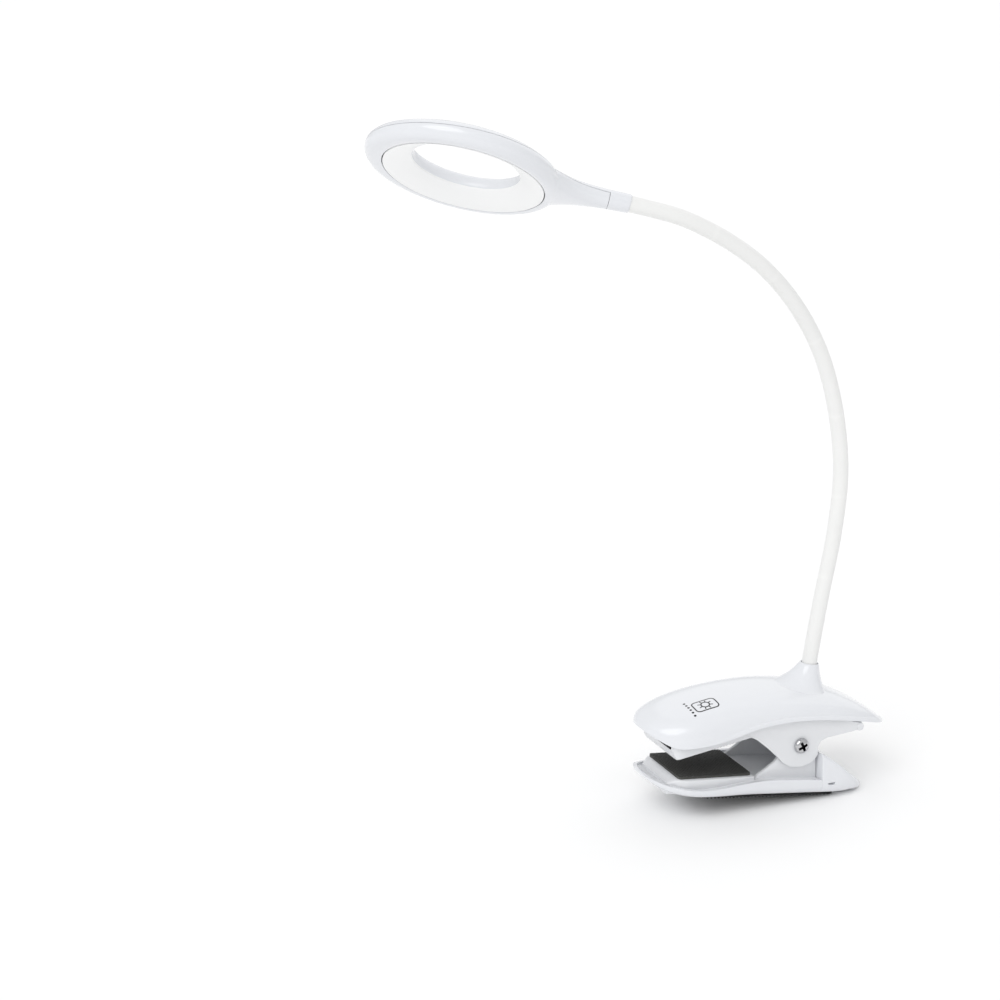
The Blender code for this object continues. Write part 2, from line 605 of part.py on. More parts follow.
RELIEF = math.tan(math.radians(NECK_BEND / 2)) + 0.02
SECTION_GAP = 0.12
SLEEVE_END = NECK_LENGTH - CORE_IN_HEAD
section_ends = [(SLEEVE_START, "end")] + NECK_HINGES + [(SLEEVE_END - GAP, "end")]
last_section = len(section_ends) - 2
for index, ((low, low_kind), (high, high_kind)) in enumerate(zip(section_ends, section_ends[1:])):
    low += SECTION_GAP
    high -= SECTION_GAP
    relief_low = RELIEF if low_kind in ("fore", "side") else 0.0
    relief_high = RELIEF if high_kind in ("fore", "side") else 0.0
    inner_low = low - 3.8 if index == 0 else low
    inner_high = high + 13.0 if index == last_section else high
    neck_tube(f"neck_sleeve_{index}", low, high, NECK_R, NECK_BORE_R, relief_low, relief_high,
              SILICONE, 14, 10.5)
    neck_tube(f"neck_core_{index}", inner_low, inner_high, CORE_R, CORE_BORE_R, relief_low, relief_high,
              STEEL, 8, 13.0)
    neck_tube(f"neck_lead_{index}", inner_low, inner_high, LEAD_R, 0.0, relief_low, relief_high,
              LEAD, 6, 13.0)

# ---- Head: ring-shaped cover and base ---------------------------------------------------------
heading, dip, roll = (math.radians(angle) for angle in HEAD_TURN)
HEAD = (Matrix.Translation(HEAD_CENTRE) @ Matrix.Rotation(heading, 4, "Z")
        @ Matrix.Rotation(dip, 4, "Y") @ Matrix.Rotation(roll, 4, "X"))
SLEEVE_RISE = math.tan(math.radians(3.5))
RING_STEPS = 44


def sleeve_height(x):
    """Height of the neck's axis over the ring's lower plane, in the head's own frame."""
    return 7.98 + (x - 60.0) * SLEEVE_RISE


RING_OUTSIDE = [(RING_HOLE_R, 7.3), (26.4, 12.1), (27.2, 12.6), (33.5, 12.5), (39.0, 10.7),
                (42.2, 8.9), (43.8, 6.8), (RING_R, 4.8), (43.4, 2.5), (41.7, 0.6), (40.3, -0.1),
                (RING_DIFFUSER_R + GAP + 0.1, 0.0)]
RING_INSIDE = [(38.0, 1.8), (41.0, 3.0), (42.0, 4.9), (41.8, 6.3), (40.4, 7.9), (38.2, 9.1),
               (34.0, 10.7), (28.4, 10.9), (27.2, 10.3), (26.9, 7.3)]
CAVITY = [(0.05, -3.0), (38.8, -3.0), *[(r + 0.8, h) for r, h in RING_INSIDE[:5]], (38.5, 9.9),
          (33.5, 11.6), (0.05, 11.6)]
tail_half_width = smooth_curve([(34, 22), (40, 18.0), (45, 13.2), (50, 9.7), (55, 7.2), (60, 5.7),
                                (67, 4.75), (77.6, 4.4)])
tail_half_height = smooth_curve([(34, 5.5), (45, 5.3), (55, 5.0), (67, 4.6), (77.6, 4.4)])
tail_height = smooth_curve([(34, 6.3), (45, 6.9), (60, sleeve_height(60)), (77.6, sleeve_height(77.6))])


def tail_ring(x):
    ring = []
    roundness = 2 / (2.0 + 0.7 * max(0.0, (60 - x) / 26))
    for k in range(20):
        angle = math.tau * k / 20
        ring.append(HEAD @ Vector((x, tail_half_width(x) * power(math.cos(angle), roundness),
                                   tail_height(x) + tail_half_height(x) * power(math.sin(angle), roundness))))
    return ring


def housing_section(angle):
    """The ring's closed section at an angle; the outer wall reaches further on the tip's side."""
    section = []
    for r, h in RING_OUTSIDE + RING_INSIDE:
        outward = min(1.0, max(0.0, (r - 38.0) / 5.0))
        stretch = 1 + TIP_STRETCH * outward * (math.cos(angle) < 0)
        section.append(HEAD @ Vector((stretch * r * math.cos(angle), r * math.sin(angle), h)))
    return section


def head_solid(name, finish):
    """The whole head housing as one piece, before it is parted into cover and base."""
    ring = loft(name, [housing_section(math.tau * k / RING_STEPS) for k in range(RING_STEPS)], finish,
                capped=False)
    tail = loft(f"cut_{name}_tail", [tail_ring(x) for x in
                                     (34, 37, 40, 42.5, 45, 47.5, 50, 53, 56, 60, 64, 67, 71, HEAD_SLEEVE_X)],
                is_cutter=True)
    cavity = turned(f"cut_{name}_cavity", CAVITY, HEAD, is_cutter=True, steps=RING_STEPS)
    boolean(tail, cavity)
    boolean(ring, tail, "UNION")
    bore = rod(f"cut_{name}_bore", HEAD @ Vector((62.5, 0, sleeve_height(62.5))),
               HEAD @ Vector((80, 0, sleeve_height(80))), CORE_R + GAP, is_cutter=True)
    channel = rod(f"cut_{name}_channel", HEAD @ Vector((38, 0, sleeve_height(38) + 1.5)),
                  HEAD @ Vector((64, 0, sleeve_height(64))), 1.5, is_cutter=True, segments=12)
    boolean(ring, bore)
    boolean(ring, channel)
    return ring


head_cover = head_solid("head_cover", WHITE_GLOSS)
head_base = head_solid("head_base", WHITE_GLOSS)
SPLIT = (HEAD @ Matrix.Translation((0, 0, HEAD_SPLIT_Z))
         @ Matrix.Rotation(-math.radians(HEAD_SPLIT_TILT), 4, "Y"))
HOLE_WALL = [(0.05, -30), (28.0, -30), (28.0, 30), (0.05, 30)]
under_cover = box("cut_under_cover", (-60, -60, -30), (HEAD_SEAM_X + GAP / 2, 60, GAP / 2),
                  is_cutter=True, place=SPLIT)
hole_wall_keep = turned("cut_hole_wall_keep", HOLE_WALL, HEAD, is_cutter=True, steps=RING_STEPS)
boolean(under_cover, hole_wall_keep)
boolean(head_cover, under_cover)
over_base = box("cut_over_base", (-60, -60, -GAP / 2), (90, 60, 40), is_cutter=True, place=SPLIT)
beyond_base = box("cut_beyond_base", (HEAD_SEAM_X - GAP / 2, -60, -30), (90, 60, 40), is_cutter=True,
                  place=SPLIT)
hole_wall_cut = turned("cut_hole_wall", HOLE_WALL, HEAD, is_cutter=True, steps=RING_STEPS)
for cutter in (over_base, beyond_base, hole_wall_cut):
    boolean(head_base, cutter)

diffuser = turned("diffuser_ring", [(RING_HOLE_R + 0.3, 5.6), (RING_DIFFUSER_R, -0.1), (RING_DIFFUSER_R, 1.4),
                                    (RING_HOLE_R + 2.2, 6.9), (RING_HOLE_R + 0.3, 6.9)], HEAD, OPAL,
                  steps=RING_STEPS)
led_board = turned("led_board", [(28.8, 7.7), (38.2, 7.7), (38.2, 8.6), (28.8, 8.6)], HEAD, BOARD,
                   steps=RING_STEPS)
leds = bmesh.new()
for k in range(LED_COUNT):
    angle = math.tau * (k + 0.5) / LED_COUNT
    chip = bmesh.ops.create_cube(leds, size=1.0)["verts"]
    bmesh.ops.scale(leds, vec=(2.8, 2.8, 1.4), verts=chip)
    bmesh.ops.transform(leds, matrix=HEAD @ Matrix.Rotation(angle, 4, "Z")
                        @ Matrix.Translation((33.8, 0, 7.5)), verts=chip)
led_blocks = new_object("cut_leds", finish_mesh("cut_leds", leds), is_cutter=True)
boolean(led_board, led_blocks, "UNION")
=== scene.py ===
import math

import bmesh
import bpy
from mathutils import Matrix, Vector


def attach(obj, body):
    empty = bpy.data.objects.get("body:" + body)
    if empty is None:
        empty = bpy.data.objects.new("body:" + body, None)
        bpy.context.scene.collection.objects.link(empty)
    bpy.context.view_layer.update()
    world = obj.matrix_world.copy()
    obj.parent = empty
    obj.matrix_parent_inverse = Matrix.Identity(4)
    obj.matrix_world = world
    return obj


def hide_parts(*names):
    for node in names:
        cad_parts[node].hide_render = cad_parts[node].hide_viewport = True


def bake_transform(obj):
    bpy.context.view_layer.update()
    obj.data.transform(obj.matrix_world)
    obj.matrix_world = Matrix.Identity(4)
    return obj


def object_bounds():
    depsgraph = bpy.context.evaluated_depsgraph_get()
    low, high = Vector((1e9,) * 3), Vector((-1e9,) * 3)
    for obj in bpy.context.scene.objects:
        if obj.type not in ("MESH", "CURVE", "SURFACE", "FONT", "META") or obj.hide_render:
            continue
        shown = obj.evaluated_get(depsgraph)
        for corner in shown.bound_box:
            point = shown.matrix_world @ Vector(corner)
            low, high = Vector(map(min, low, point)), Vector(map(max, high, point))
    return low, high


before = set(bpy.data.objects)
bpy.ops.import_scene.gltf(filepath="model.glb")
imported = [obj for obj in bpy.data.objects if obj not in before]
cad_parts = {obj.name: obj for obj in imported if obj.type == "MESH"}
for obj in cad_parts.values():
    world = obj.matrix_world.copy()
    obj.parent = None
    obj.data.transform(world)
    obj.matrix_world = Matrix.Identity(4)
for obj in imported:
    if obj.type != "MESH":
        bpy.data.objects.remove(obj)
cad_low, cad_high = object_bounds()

scene = bpy.context.scene

# ---- Camera -----------------------------------------------------------------------------------
# A long lens a metre away, a little above the clip and turned towards the lamp's near side.
camera = bpy.data.objects.new("camera", bpy.data.cameras.new("camera"))
camera.data.lens = 72.61
camera.data.sensor_width = 36.0
camera.location = (-0.44305, -0.83632, 0.37332)
camera.rotation_euler = (math.radians(75.13), 0.0, math.radians(-22.06))
scene.collection.objects.link(camera)
scene.camera = camera

# ---- Studio -----------------------------------------------------------------------------------
# A wide white floor just under the clip, a white sky that is brighter overhead, and two broad soft
# lamps: a key from the upper left and a weaker one behind, which draws the glossy edges.
scene.view_settings.view_transform = "Standard"
FLOOR_HALF = 40.0


def new_finish(name):
    """An empty material and the two things that its recipe works on."""
    made = bpy.data.materials.new(name)
    made.use_nodes = True
    return made, made.node_tree, made.node_tree.nodes["Principled BSDF"]


def add_node(tree, kind, **settings):
    """A node of a material or a group, with its named inputs set."""
    node = tree.nodes.new("ShaderNode" + kind)
    for key, value in settings.items():
        if hasattr(node, key):
            setattr(node, key, value)
        else:
            node.inputs[key.replace("_", " ").title()].default_value = value
    return node


floor_paint, _, paint = new_finish("floor_paint")
paint.inputs["Base Color"].default_value = (0.96, 0.96, 0.96, 1.0)
paint.inputs["Roughness"].default_value = 0.9
paint.inputs["Specular IOR Level"].default_value = 0.1
floor_bm = bmesh.new()
bmesh.ops.create_grid(floor_bm, x_segments=1, y_segments=1, size=FLOOR_HALF)
bmesh.ops.translate(floor_bm, vec=(0, 0, cad_low.z - 0.0002), verts=floor_bm.verts)
floor_mesh = bpy.data.meshes.new("studio_floor")
floor_bm.to_mesh(floor_mesh)
floor_bm.free()
floor = bpy.data.objects.new("studio_floor", floor_mesh)
floor.data.materials.append(floor_paint)
scene.collection.objects.link(floor)

sky = bpy.data.worlds.new("white_sky")
sky.use_nodes = True
scene.world = sky
sky_tree = sky.node_tree
backdrop = sky_tree.nodes["Background"]
direction = add_node(sky_tree, "TexCoord")
upward = add_node(sky_tree, "SeparateXYZ")
sky_shade = add_node(sky_tree, "ValToRGB")
sky_shade.color_ramp.elements[0].position = 0.0
sky_shade.color_ramp.elements[0].color = (0.84, 0.85, 0.865, 1.0)
sky_shade.color_ramp.elements[1].position = 0.85
sky_shade.color_ramp.elements[1].color = (0.93, 0.93, 0.93, 1.0)
sky_tree.links.new(direction.outputs["Generated"], upward.inputs["Vector"])
sky_tree.links.new(upward.outputs["Z"], sky_shade.inputs["Fac"])
sky_tree.links.new(sky_shade.outputs["Color"], backdrop.inputs["Color"])
backdrop.inputs["Strength"].default_value = 0.84


def sun(name, strength, spread, heading, height):
    """A distant soft lamp that shines from a heading and a height, in degrees."""
    lamp = bpy.data.objects.new(name, bpy.data.lights.new(name, "SUN"))
    lamp.data.energy = strength
    lamp.data.angle = math.radians(spread)
    lamp.rotation_euler = (math.radians(90 - height), 0.0, math.radians(heading))
    scene.collection.objects.link(lamp)


sun("key_lamp", 1.05, 45, -50, 42)
sun("back_lamp", 0.40, 70, 130, 40)

# ---- Upper shell ------------------------------------------------------------------------------
# The mouse-shaped cover of the upper jaw: one glossy white ABS moulding with a 2 mm wall, a round
# nose, a drawn-out tail and a skirt that turns outwards to a lip along its open rim.
MM = 0.001
WALL = 2.0
SHELL_NOSE = -30.0
SHELL_TAIL = 107.0
SHELL_HALF_WIDTH = 24.9
NOSE_POWER = 2.5
TAIL_POWER = 2.2
MERGE_DISTANCE = 0.0005


def smooth_curve(points):
    """A function through (x, y) points with continuous slope."""
    xs = [x for x, y in points]
    ys = [y for x, y in points]
    last = len(xs) - 1
    slopes = []
    for i in range(last + 1):
        before, after = max(i - 1, 0), min(i + 1, last)
        slopes.append((ys[after] - ys[before]) / (xs[after] - xs[before]))

    def value(x):
        i = next((k for k in range(last - 1) if x < xs[k + 1]), last - 1)
        span = xs[i + 1] - xs[i]
        t = (x - xs[i]) / span
        return ((2 * t**3 - 3 * t**2 + 1) * ys[i] + (t**3 - 2 * t**2 + t) * span * slopes[i]
                + (3 * t**2 - 2 * t**3) * ys[i + 1] + (t**3 - t**2) * span * slopes[i + 1])

    return value


def crowded(low, high, share):
    """A station between low and high; equal steps of share crowd at both ends."""
    return (low + high) / 2 - (high - low) / 2 * math.cos(math.pi * share)


def quarter(share, power):
    """(across, up) on a quarter superellipse, from its side at share 0 to its top at 1."""
    rise, fall = share ** (power / 2), (1 - share) ** (power / 2)
    angle = math.pi / 2 * rise / (rise + fall)
    return math.cos(angle) ** (2 / power), math.sin(angle) ** (2 / power)


def ease(value, low, high):
    """0 below low, 1 above high, and a smooth step between."""
    share = min(1.0, max(0.0, (value - low) / (high - low)))
    return share * share * (3 - 2 * share)


def rounded_plan(x, nose, tail, nose_span, tail_start, tail_power):
    """Half-width, from 0 to 1, of a plan with a round nose and a tapered round tail."""
    near_nose = min(1.0, max(0.0, (nose + nose_span - x) / nose_span))
    near_tail = min(1.0, max(0.0, (x - tail_start) / (tail - tail_start)))
    return (1 - near_nose**NOSE_POWER) ** (1 / NOSE_POWER) * (1 - near_tail**tail_power) ** (1 / TAIL_POWER)


def bent_sheet(bm, along, across, place):
    """A grid whose points go where place(share along, share across) says."""
    verts = bmesh.ops.create_grid(bm, x_segments=along, y_segments=across, size=1.0)["verts"]
    for vert in verts:
        vert.co = place((vert.co.x + 1) / 2, (vert.co.y + 1) / 2)
    return verts


def close_up(bm, capped=True):
    """Merge seams and poles, fill open ends, and turn the faces outwards."""
    bmesh.ops.remove_doubles(bm, verts=bm.verts, dist=MERGE_DISTANCE)
    bmesh.ops.dissolve_degenerate(bm, edges=bm.edges, dist=0.4 * MERGE_DISTANCE)
    if capped:
        open_edges = [edge for edge in bm.edges if edge.is_boundary]
        bmesh.ops.holes_fill(bm, edges=open_edges)
    bmesh.ops.recalc_face_normals(bm, faces=bm.faces)


def smooth_shaded(mesh, sharp_angle):
    """Shade a mesh smooth, but for the edges that turn by more than an angle in degrees."""
    mesh.shade_smooth()
    mesh.set_sharp_from_angle(angle=math.radians(sharp_angle))


def finished(name, bm, look, smooth_angle=40.0):
    """Write a bmesh made in millimetres as a piece in metres with its material."""
    bmesh.ops.scale(bm, vec=(MM, MM, MM), verts=bm.verts)
    mesh = bpy.data.meshes.new(name)
    bm.to_mesh(mesh)
    bm.free()
    smooth_shaded(mesh, smooth_angle)
    mesh.materials.append(look)
    piece = bpy.data.objects.new(name, mesh)
    scene.collection.objects.link(piece)
    return piece


def settle(piece, smooth_angle=None):
    """Write a piece's modifiers into its mesh, and mark the edges that stay sharp."""
    bpy.context.view_layer.update()
    worked = bpy.data.meshes.new_from_object(
        piece.evaluated_get(bpy.context.evaluated_depsgraph_get()))
    piece.modifiers.clear()
    worked.name = piece.data.name
    piece.data = worked
    if smooth_angle:
        smooth_shaded(worked, smooth_angle)


def thicken(piece, wall, lip=0.0, smooth_angle=40.0):
    """Grow an open sheet inwards to a wall, with a rounded rim where lip is given."""
    solid = piece.modifiers.new("wall", "SOLIDIFY")
    solid.thickness = wall * MM
    solid.offset = -1.0
    solid.use_even_offset = True
    if lip:
        rim = piece.modifiers.new("rounded_rim", "BEVEL")
        rim.width = lip * MM
        rim.segments = 3
        rim.limit_method = "ANGLE"
        rim.angle_limit = math.radians(50)
    settle(piece, smooth_angle)


def effect_group(name, inputs, outputs):
    """A node group with number inputs and named outputs."""
    group = bpy.data.node_groups.new(name, "ShaderNodeTree")
    for label, value in inputs:
        socket = group.interface.new_socket(label, in_out="INPUT", socket_type="NodeSocketFloat")
        socket.default_value = value
    for label in outputs:
        group.interface.new_socket(label, in_out="OUTPUT", socket_type="NodeSocketFloat")
    return group, group.nodes.new("NodeGroupInput"), group.nodes.new("NodeGroupOutput")


# Moulded plastic never lies quite flat: broad waves from shrinkage, and a fine spark-eroded grain.
moulding, moulding_in, moulding_out = effect_group(
    "moulding_skin", [("Wave Scale", 60.0), ("Grain Scale", 1800.0), ("Grain Share", 0.3)],
    ["Height", "Tone"])
skin_place = add_node(moulding, "TexCoord")
skin_wave = add_node(moulding, "TexNoise", Detail=2.0)
skin_grain = add_node(moulding, "TexNoise", Detail=3.0)
skin_mix = add_node(moulding, "Mix")
for noise, label in ((skin_wave, "Wave Scale"), (skin_grain, "Grain Scale")):
    moulding.links.new(skin_place.outputs["Object"], noise.inputs["Vector"])
    moulding.links.new(moulding_in.outputs[label], noise.inputs["Scale"])
moulding.links.new(moulding_in.outputs["Grain Share"], skin_mix.inputs[0])
moulding.links.new(skin_wave.outputs["Fac"], skin_mix.inputs[2])
moulding.links.new(skin_grain.outputs["Fac"], skin_mix.inputs[3])
moulding.links.new(skin_mix.outputs[0], moulding_out.inputs["Height"])
moulding.links.new(skin_wave.outputs["Fac"], moulding_out.inputs["Tone"])

# Handling rubs proud edges lighter, and the hollows are painted darker: partly a little dust, partly painted
# shade.
wear_and_shade_group, wear_and_shade_in, wear_and_shade_out = effect_group(
    "wear_dust_and_shade", [("Dust Scale", 260.0)], ["Rubbed", "Dust And Shade"])
wear_and_shade_place = add_node(wear_and_shade_group, "TexCoord")
wear_and_shade_shape = add_node(wear_and_shade_group, "NewGeometry")
wear_and_shade_noise = add_node(wear_and_shade_group, "TexNoise", Detail=5.0)
rub_range = add_node(wear_and_shade_group, "MapRange")
dust_and_shade_range = add_node(wear_and_shade_group, "MapRange")
rub_patch = add_node(wear_and_shade_group, "Math", operation="MULTIPLY")
dust_and_shade_patch = add_node(wear_and_shade_group, "Math", operation="MULTIPLY")
for node, low, high in ((rub_range, 0.52, 0.60), (dust_and_shade_range, 0.48, 0.40)):
    node.inputs["From Min"].default_value = low
    node.inputs["From Max"].default_value = high
    wear_and_shade_group.links.new(wear_and_shade_shape.outputs["Pointiness"], node.inputs["Value"])
wear_and_shade_group.links.new(wear_and_shade_place.outputs["Object"], wear_and_shade_noise.inputs["Vector"])
wear_and_shade_group.links.new(wear_and_shade_in.outputs["Dust Scale"], wear_and_shade_noise.inputs["Scale"])
for patch, shape, label in ((rub_patch, rub_range, "Rubbed"), (dust_and_shade_patch, dust_and_shade_range, "Dust And Shade")):
    wear_and_shade_group.links.new(shape.outputs["Result"], patch.inputs[0])
    wear_and_shade_group.links.new(wear_and_shade_noise.outputs["Fac"], patch.inputs[1])
    wear_and_shade_group.links.new(patch.outputs[0], wear_and_shade_out.inputs[label])


def place_group(tree, group, **values):
    """An effect placed in a material, with its own values."""
    node = tree.nodes.new("ShaderNodeGroup")
    node.node_tree = group
    for key, value in values.items():
        node.inputs[key.replace("_", " ").title()].default_value = value
    return node


def blend_colours(tree, mask, first, second):
    """A colour that goes from first to second as the mask goes from 0 to 1."""
    mix = tree.nodes.new("ShaderNodeMix")
    mix.data_type = "RGBA"
    tree.links.new(mask, mix.inputs[0])
    for socket, colour in ((mix.inputs[6], first), (mix.inputs[7], second)):
        if isinstance(colour, tuple):
            socket.default_value = (*colour, 1.0)
        else:
            tree.links.new(colour, socket)
    return mix.outputs[2]


def ranged(tree, value, low, high):
    """The middle of a noise's range stretched to run from low to high."""
    node = tree.nodes.new("ShaderNodeMapRange")
    node.inputs["From Min"].default_value = 0.3
    node.inputs["From Max"].default_value = 0.7
    node.inputs["To Min"].default_value = low
    node.inputs["To Max"].default_value = high
    tree.links.new(value, node.inputs["Value"])
    return node.outputs["Result"]


def bumped(tree, shader, height, depth_mm):
    bump = tree.nodes.new("ShaderNodeBump")
    bump.inputs["Distance"].default_value = depth_mm * MM
    bump.inputs["Strength"].default_value = 1.0
    tree.links.new(height, bump.inputs["Height"])
    tree.links.new(bump.outputs["Normal"], shader.inputs["Normal"])


def moulded_plastic(name, shade, light, dust, gloss, wave, grain, grain_share, depth_mm):
    """White moulded plastic: two close tints, rubbed edges, hollows darkened by dust and painted shade, and an
    uneven gloss.
    """
    made, tree, shader = new_finish(name)
    skin = place_group(tree, moulding, wave_scale=wave, grain_scale=grain, grain_share=grain_share)
    wear_and_shade = place_group(tree, wear_and_shade_group, dust_scale=260.0)
    tint = blend_colours(tree, skin.outputs["Tone"], shade, light)
    rubbed = blend_colours(tree, wear_and_shade.outputs["Rubbed"], tint, tuple(min(1.0, c * 1.04) for c in light))
    # Painted shade: the hollows blend towards the darker grey, which stands partly for dust and partly for
    # shade.
    tree.links.new(blend_colours(tree, wear_and_shade.outputs["Dust And Shade"], rubbed, dust), shader.inputs["Base Color"])
    tree.links.new(ranged(tree, skin.outputs["Height"], *gloss), shader.inputs["Roughness"])
    bumped(tree, shader, skin.outputs["Height"], depth_mm)
    return made


GLOSS_WHITE = moulded_plastic(
    "gloss_white_abs", shade=(0.742, 0.755, 0.785), light=(0.768, 0.780, 0.806), dust=(0.62, 0.62, 0.62),
    gloss=(0.13, 0.20), wave=38.0, grain=1500.0, grain_share=0.25, depth_mm=0.02)
gloss_shader = GLOSS_WHITE.node_tree.nodes["Principled BSDF"]
gloss_shader.inputs["Coat Weight"].default_value = 0.25
gloss_shader.inputs["Coat Roughness"].default_value = 0.06

shell_rim = smooth_curve([(-30, 10.4), (-20, 5.4), (-9, 5.5), (6, 7.1), (23, 10.8), (40, 11.8),
                          (56, 10.6), (72, 7.6), (88, 3.3), (107, -3.4)])
shell_crown = smooth_curve([(-30, 11.2), (-28, 14.4), (-20, 18.2), (-8, 21.2), (8, 23.7), (25, 24.4),
                            (42, 23.6), (60, 20.8), (75, 16.8), (90, 9.6), (107, -2.6)])
SHELL_POWER = 3.0
LIP_OUT = 0.7
LIP_HEIGHT = 1.7
LIP_FADE = 0.7
LIP_STARTS, LIP_FULL = -4, 30
LIP_NARROWS = 12
RIM_ROUND = 0.4


def shell_half_width(x):
    return SHELL_HALF_WIDTH * rounded_plan(x, SHELL_NOSE, SHELL_TAIL, nose_span=33.0, tail_start=30.0,
                                           tail_power=3.0)


def shell_height(x, y):
    """Height of the shell's outer face over a point of its plan."""
    out = min(1.0, abs(y) / shell_half_width(x))
    rise = (1 - out**SHELL_POWER) ** (1 / SHELL_POWER)
    return shell_rim(x) + (shell_crown(x) - shell_rim(x)) * rise


def shell_point(share_x, share_y):
    x = crowded(SHELL_NOSE, SHELL_TAIL, share_x)
    side = 1 if share_y > 0.5 else -1
    across, up = quarter(1 - abs(2 * share_y - 1), SHELL_POWER)
    height = (shell_crown(x) - shell_rim(x)) * up
    half = shell_half_width(x)
    lip = LIP_OUT * ease(x, LIP_STARTS, LIP_FULL) * min(1.0, half / LIP_NARROWS)
    lip *= ease(height, LIP_HEIGHT, LIP_HEIGHT + LIP_FADE)
    return Vector((x, side * max(0.0, half - lip) * across, shell_rim(x) + height))


shell_bm = bmesh.new()
bent_sheet(shell_bm, along=130, across=150, place=shell_point)
close_up(shell_bm, capped=False)
shell = finished("upper_shell_cover", shell_bm, GLOSS_WHITE)
thicken(shell, WALL, lip=RIM_ROUND)
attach(shell, "upper_jaw")
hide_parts("upper_shell")

# ---- Collar -----------------------------------------------------------------------------------
# The flared socket that the gooseneck stands in.  It is moulded with the shell: round at the top
# and run out over the shell's back, further towards the nose than towards the tail.
NECK_BASE = Vector((64.9, 0.0, 32.0))
NECK_LEAN = Matrix.Rotation(math.radians(6.5), 3, "Y")
COLLAR_R = 4.7
NECK_R = 3.8
COLLAR_STEPS = 48
TAIL_FLARE = (0.22, 0.0006)
NOSE_FLARE = (0.72, 0.0030)
SHORTEST_FLARE = 4.0
LONGEST_FLARE = 18
FLARE_STEP = 0.1
FLARE_SUNK = 0.8
COLLAR_BORE = [(-0.5, 5.5), (-0.5, 0.4), (-0.4, 0.12), (-0.2, 0.0), (-0.04, 0.08), (0.0, 0.3)]


def round_neck(r, angle, drop):
    """A point at radius r round the neck's axis, a drop below the collar's top."""
    return NECK_BASE + NECK_LEAN @ Vector((r * math.cos(angle), r * math.sin(angle), -drop))


def collar_flare(angle, drop):
    """A point on the flare, which spreads further towards the nose than towards the tail."""
    toward_nose = (0.5 - 0.5 * math.cos(angle)) ** 1.3
    tail_r, nose_r = (COLLAR_R + straight * drop + curved * drop**3
                      for straight, curved in (TAIL_FLARE, NOSE_FLARE))
    return round_neck(tail_r + (nose_r - tail_r) * toward_nose, angle, drop)


def collar_foot(angle):
    """How far down the flare ends: a little under the shell's outer face."""
    drop = SHORTEST_FLARE
    point = collar_flare(angle, drop)
    while drop < LONGEST_FLARE and point.z > shell_height(point.x, point.y) - FLARE_SUNK:
        drop += FLARE_STEP
        point = collar_flare(angle, drop)
    return drop


def collar_point(share_round, share_down):
    """Up the bore's wall, over the rounded top, and down the flare to its foot."""
    angle = math.tau * share_round
    step = round(share_down * COLLAR_STEPS)
    bore_steps = len(COLLAR_BORE)
    if step < bore_steps:
        out, drop = COLLAR_BORE[step]
        return round_neck(COLLAR_R + out, angle, drop)
    fall = (step - bore_steps + 1) / (COLLAR_STEPS - bore_steps + 1)
    top = COLLAR_BORE[-1][1]
    return collar_flare(angle, top + (collar_foot(angle) - top) * fall)


collar_bm = bmesh.new()
bent_sheet(collar_bm, 64, COLLAR_STEPS, collar_point)
close_up(collar_bm)
collar = finished("neck_collar", collar_bm, GLOSS_WHITE)
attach(collar, "upper_jaw")

# ---- Touch mark -------------------------------------------------------------------------------
# A pad-printed dark sign over the touch electrode: a sun in a rounded frame, and a short row of
# dots beside it.  The ink is a skin a few hundredths of a millimetre thick on the shell.
MARK_CENTRE = (0.1, -11.0)
MARK_HALF = (6.4, 4.55)
FRAME_CORNER = 2.3
INK_RAISED = 0.045
INK_DEPTH = 0.05
LINE_WIDTH = 0.66
SUN_R = 2.45
RAYS = 8
RAY_SIZE = (1.5, 0.58, 1)
RAY_OUT = 3.05
DOTS = 6
DOT_R = 0.66
FIRST_DOT = (-8.2, 6.6)
DOT_PITCH = 2.4


def tinted(name, dark, light, gloss, wave, grain, grain_share, depth_mm=None):
    """A coated surface: two close tints and an uneven gloss, with a fine relief where it has a depth."""
    made, tree, shader = new_finish(name)
    skin = place_group(tree, moulding, wave_scale=wave, grain_scale=grain, grain_share=grain_share)
    tree.links.new(blend_colours(tree, skin.outputs["Tone"], dark, light), shader.inputs["Base Color"])
    tree.links.new(ranged(tree, skin.outputs["Height"], *gloss), shader.inputs["Roughness"])
    if depth_mm:
        bumped(tree, shader, skin.outputs["Height"], depth_mm)
    return made


INK = tinted("printed_ink", dark=(0.010, 0.010, 0.012), light=(0.024, 0.024, 0.026), gloss=(0.35, 0.5),
             wave=900.0, grain=6000.0, grain_share=0.5)


def ring_of(bm, verts, width):
    """Turn a filled outline into a ring of the given width."""
    face = next(f for f in bm.faces if all(v in verts for v in f.verts))
    bmesh.ops.inset_region(bm, faces=[face], thickness=width, use_boundary=True, use_even_offset=True)
    bmesh.ops.delete(bm, geom=[face], context="FACES")


def pour_into(bm, part):
    """Add one bmesh's faces to another, and free it."""
    mesh = bpy.data.meshes.new("part")
    part.to_mesh(mesh)
    part.free()
    bm.from_mesh(mesh)
    bpy.data.meshes.remove(mesh)


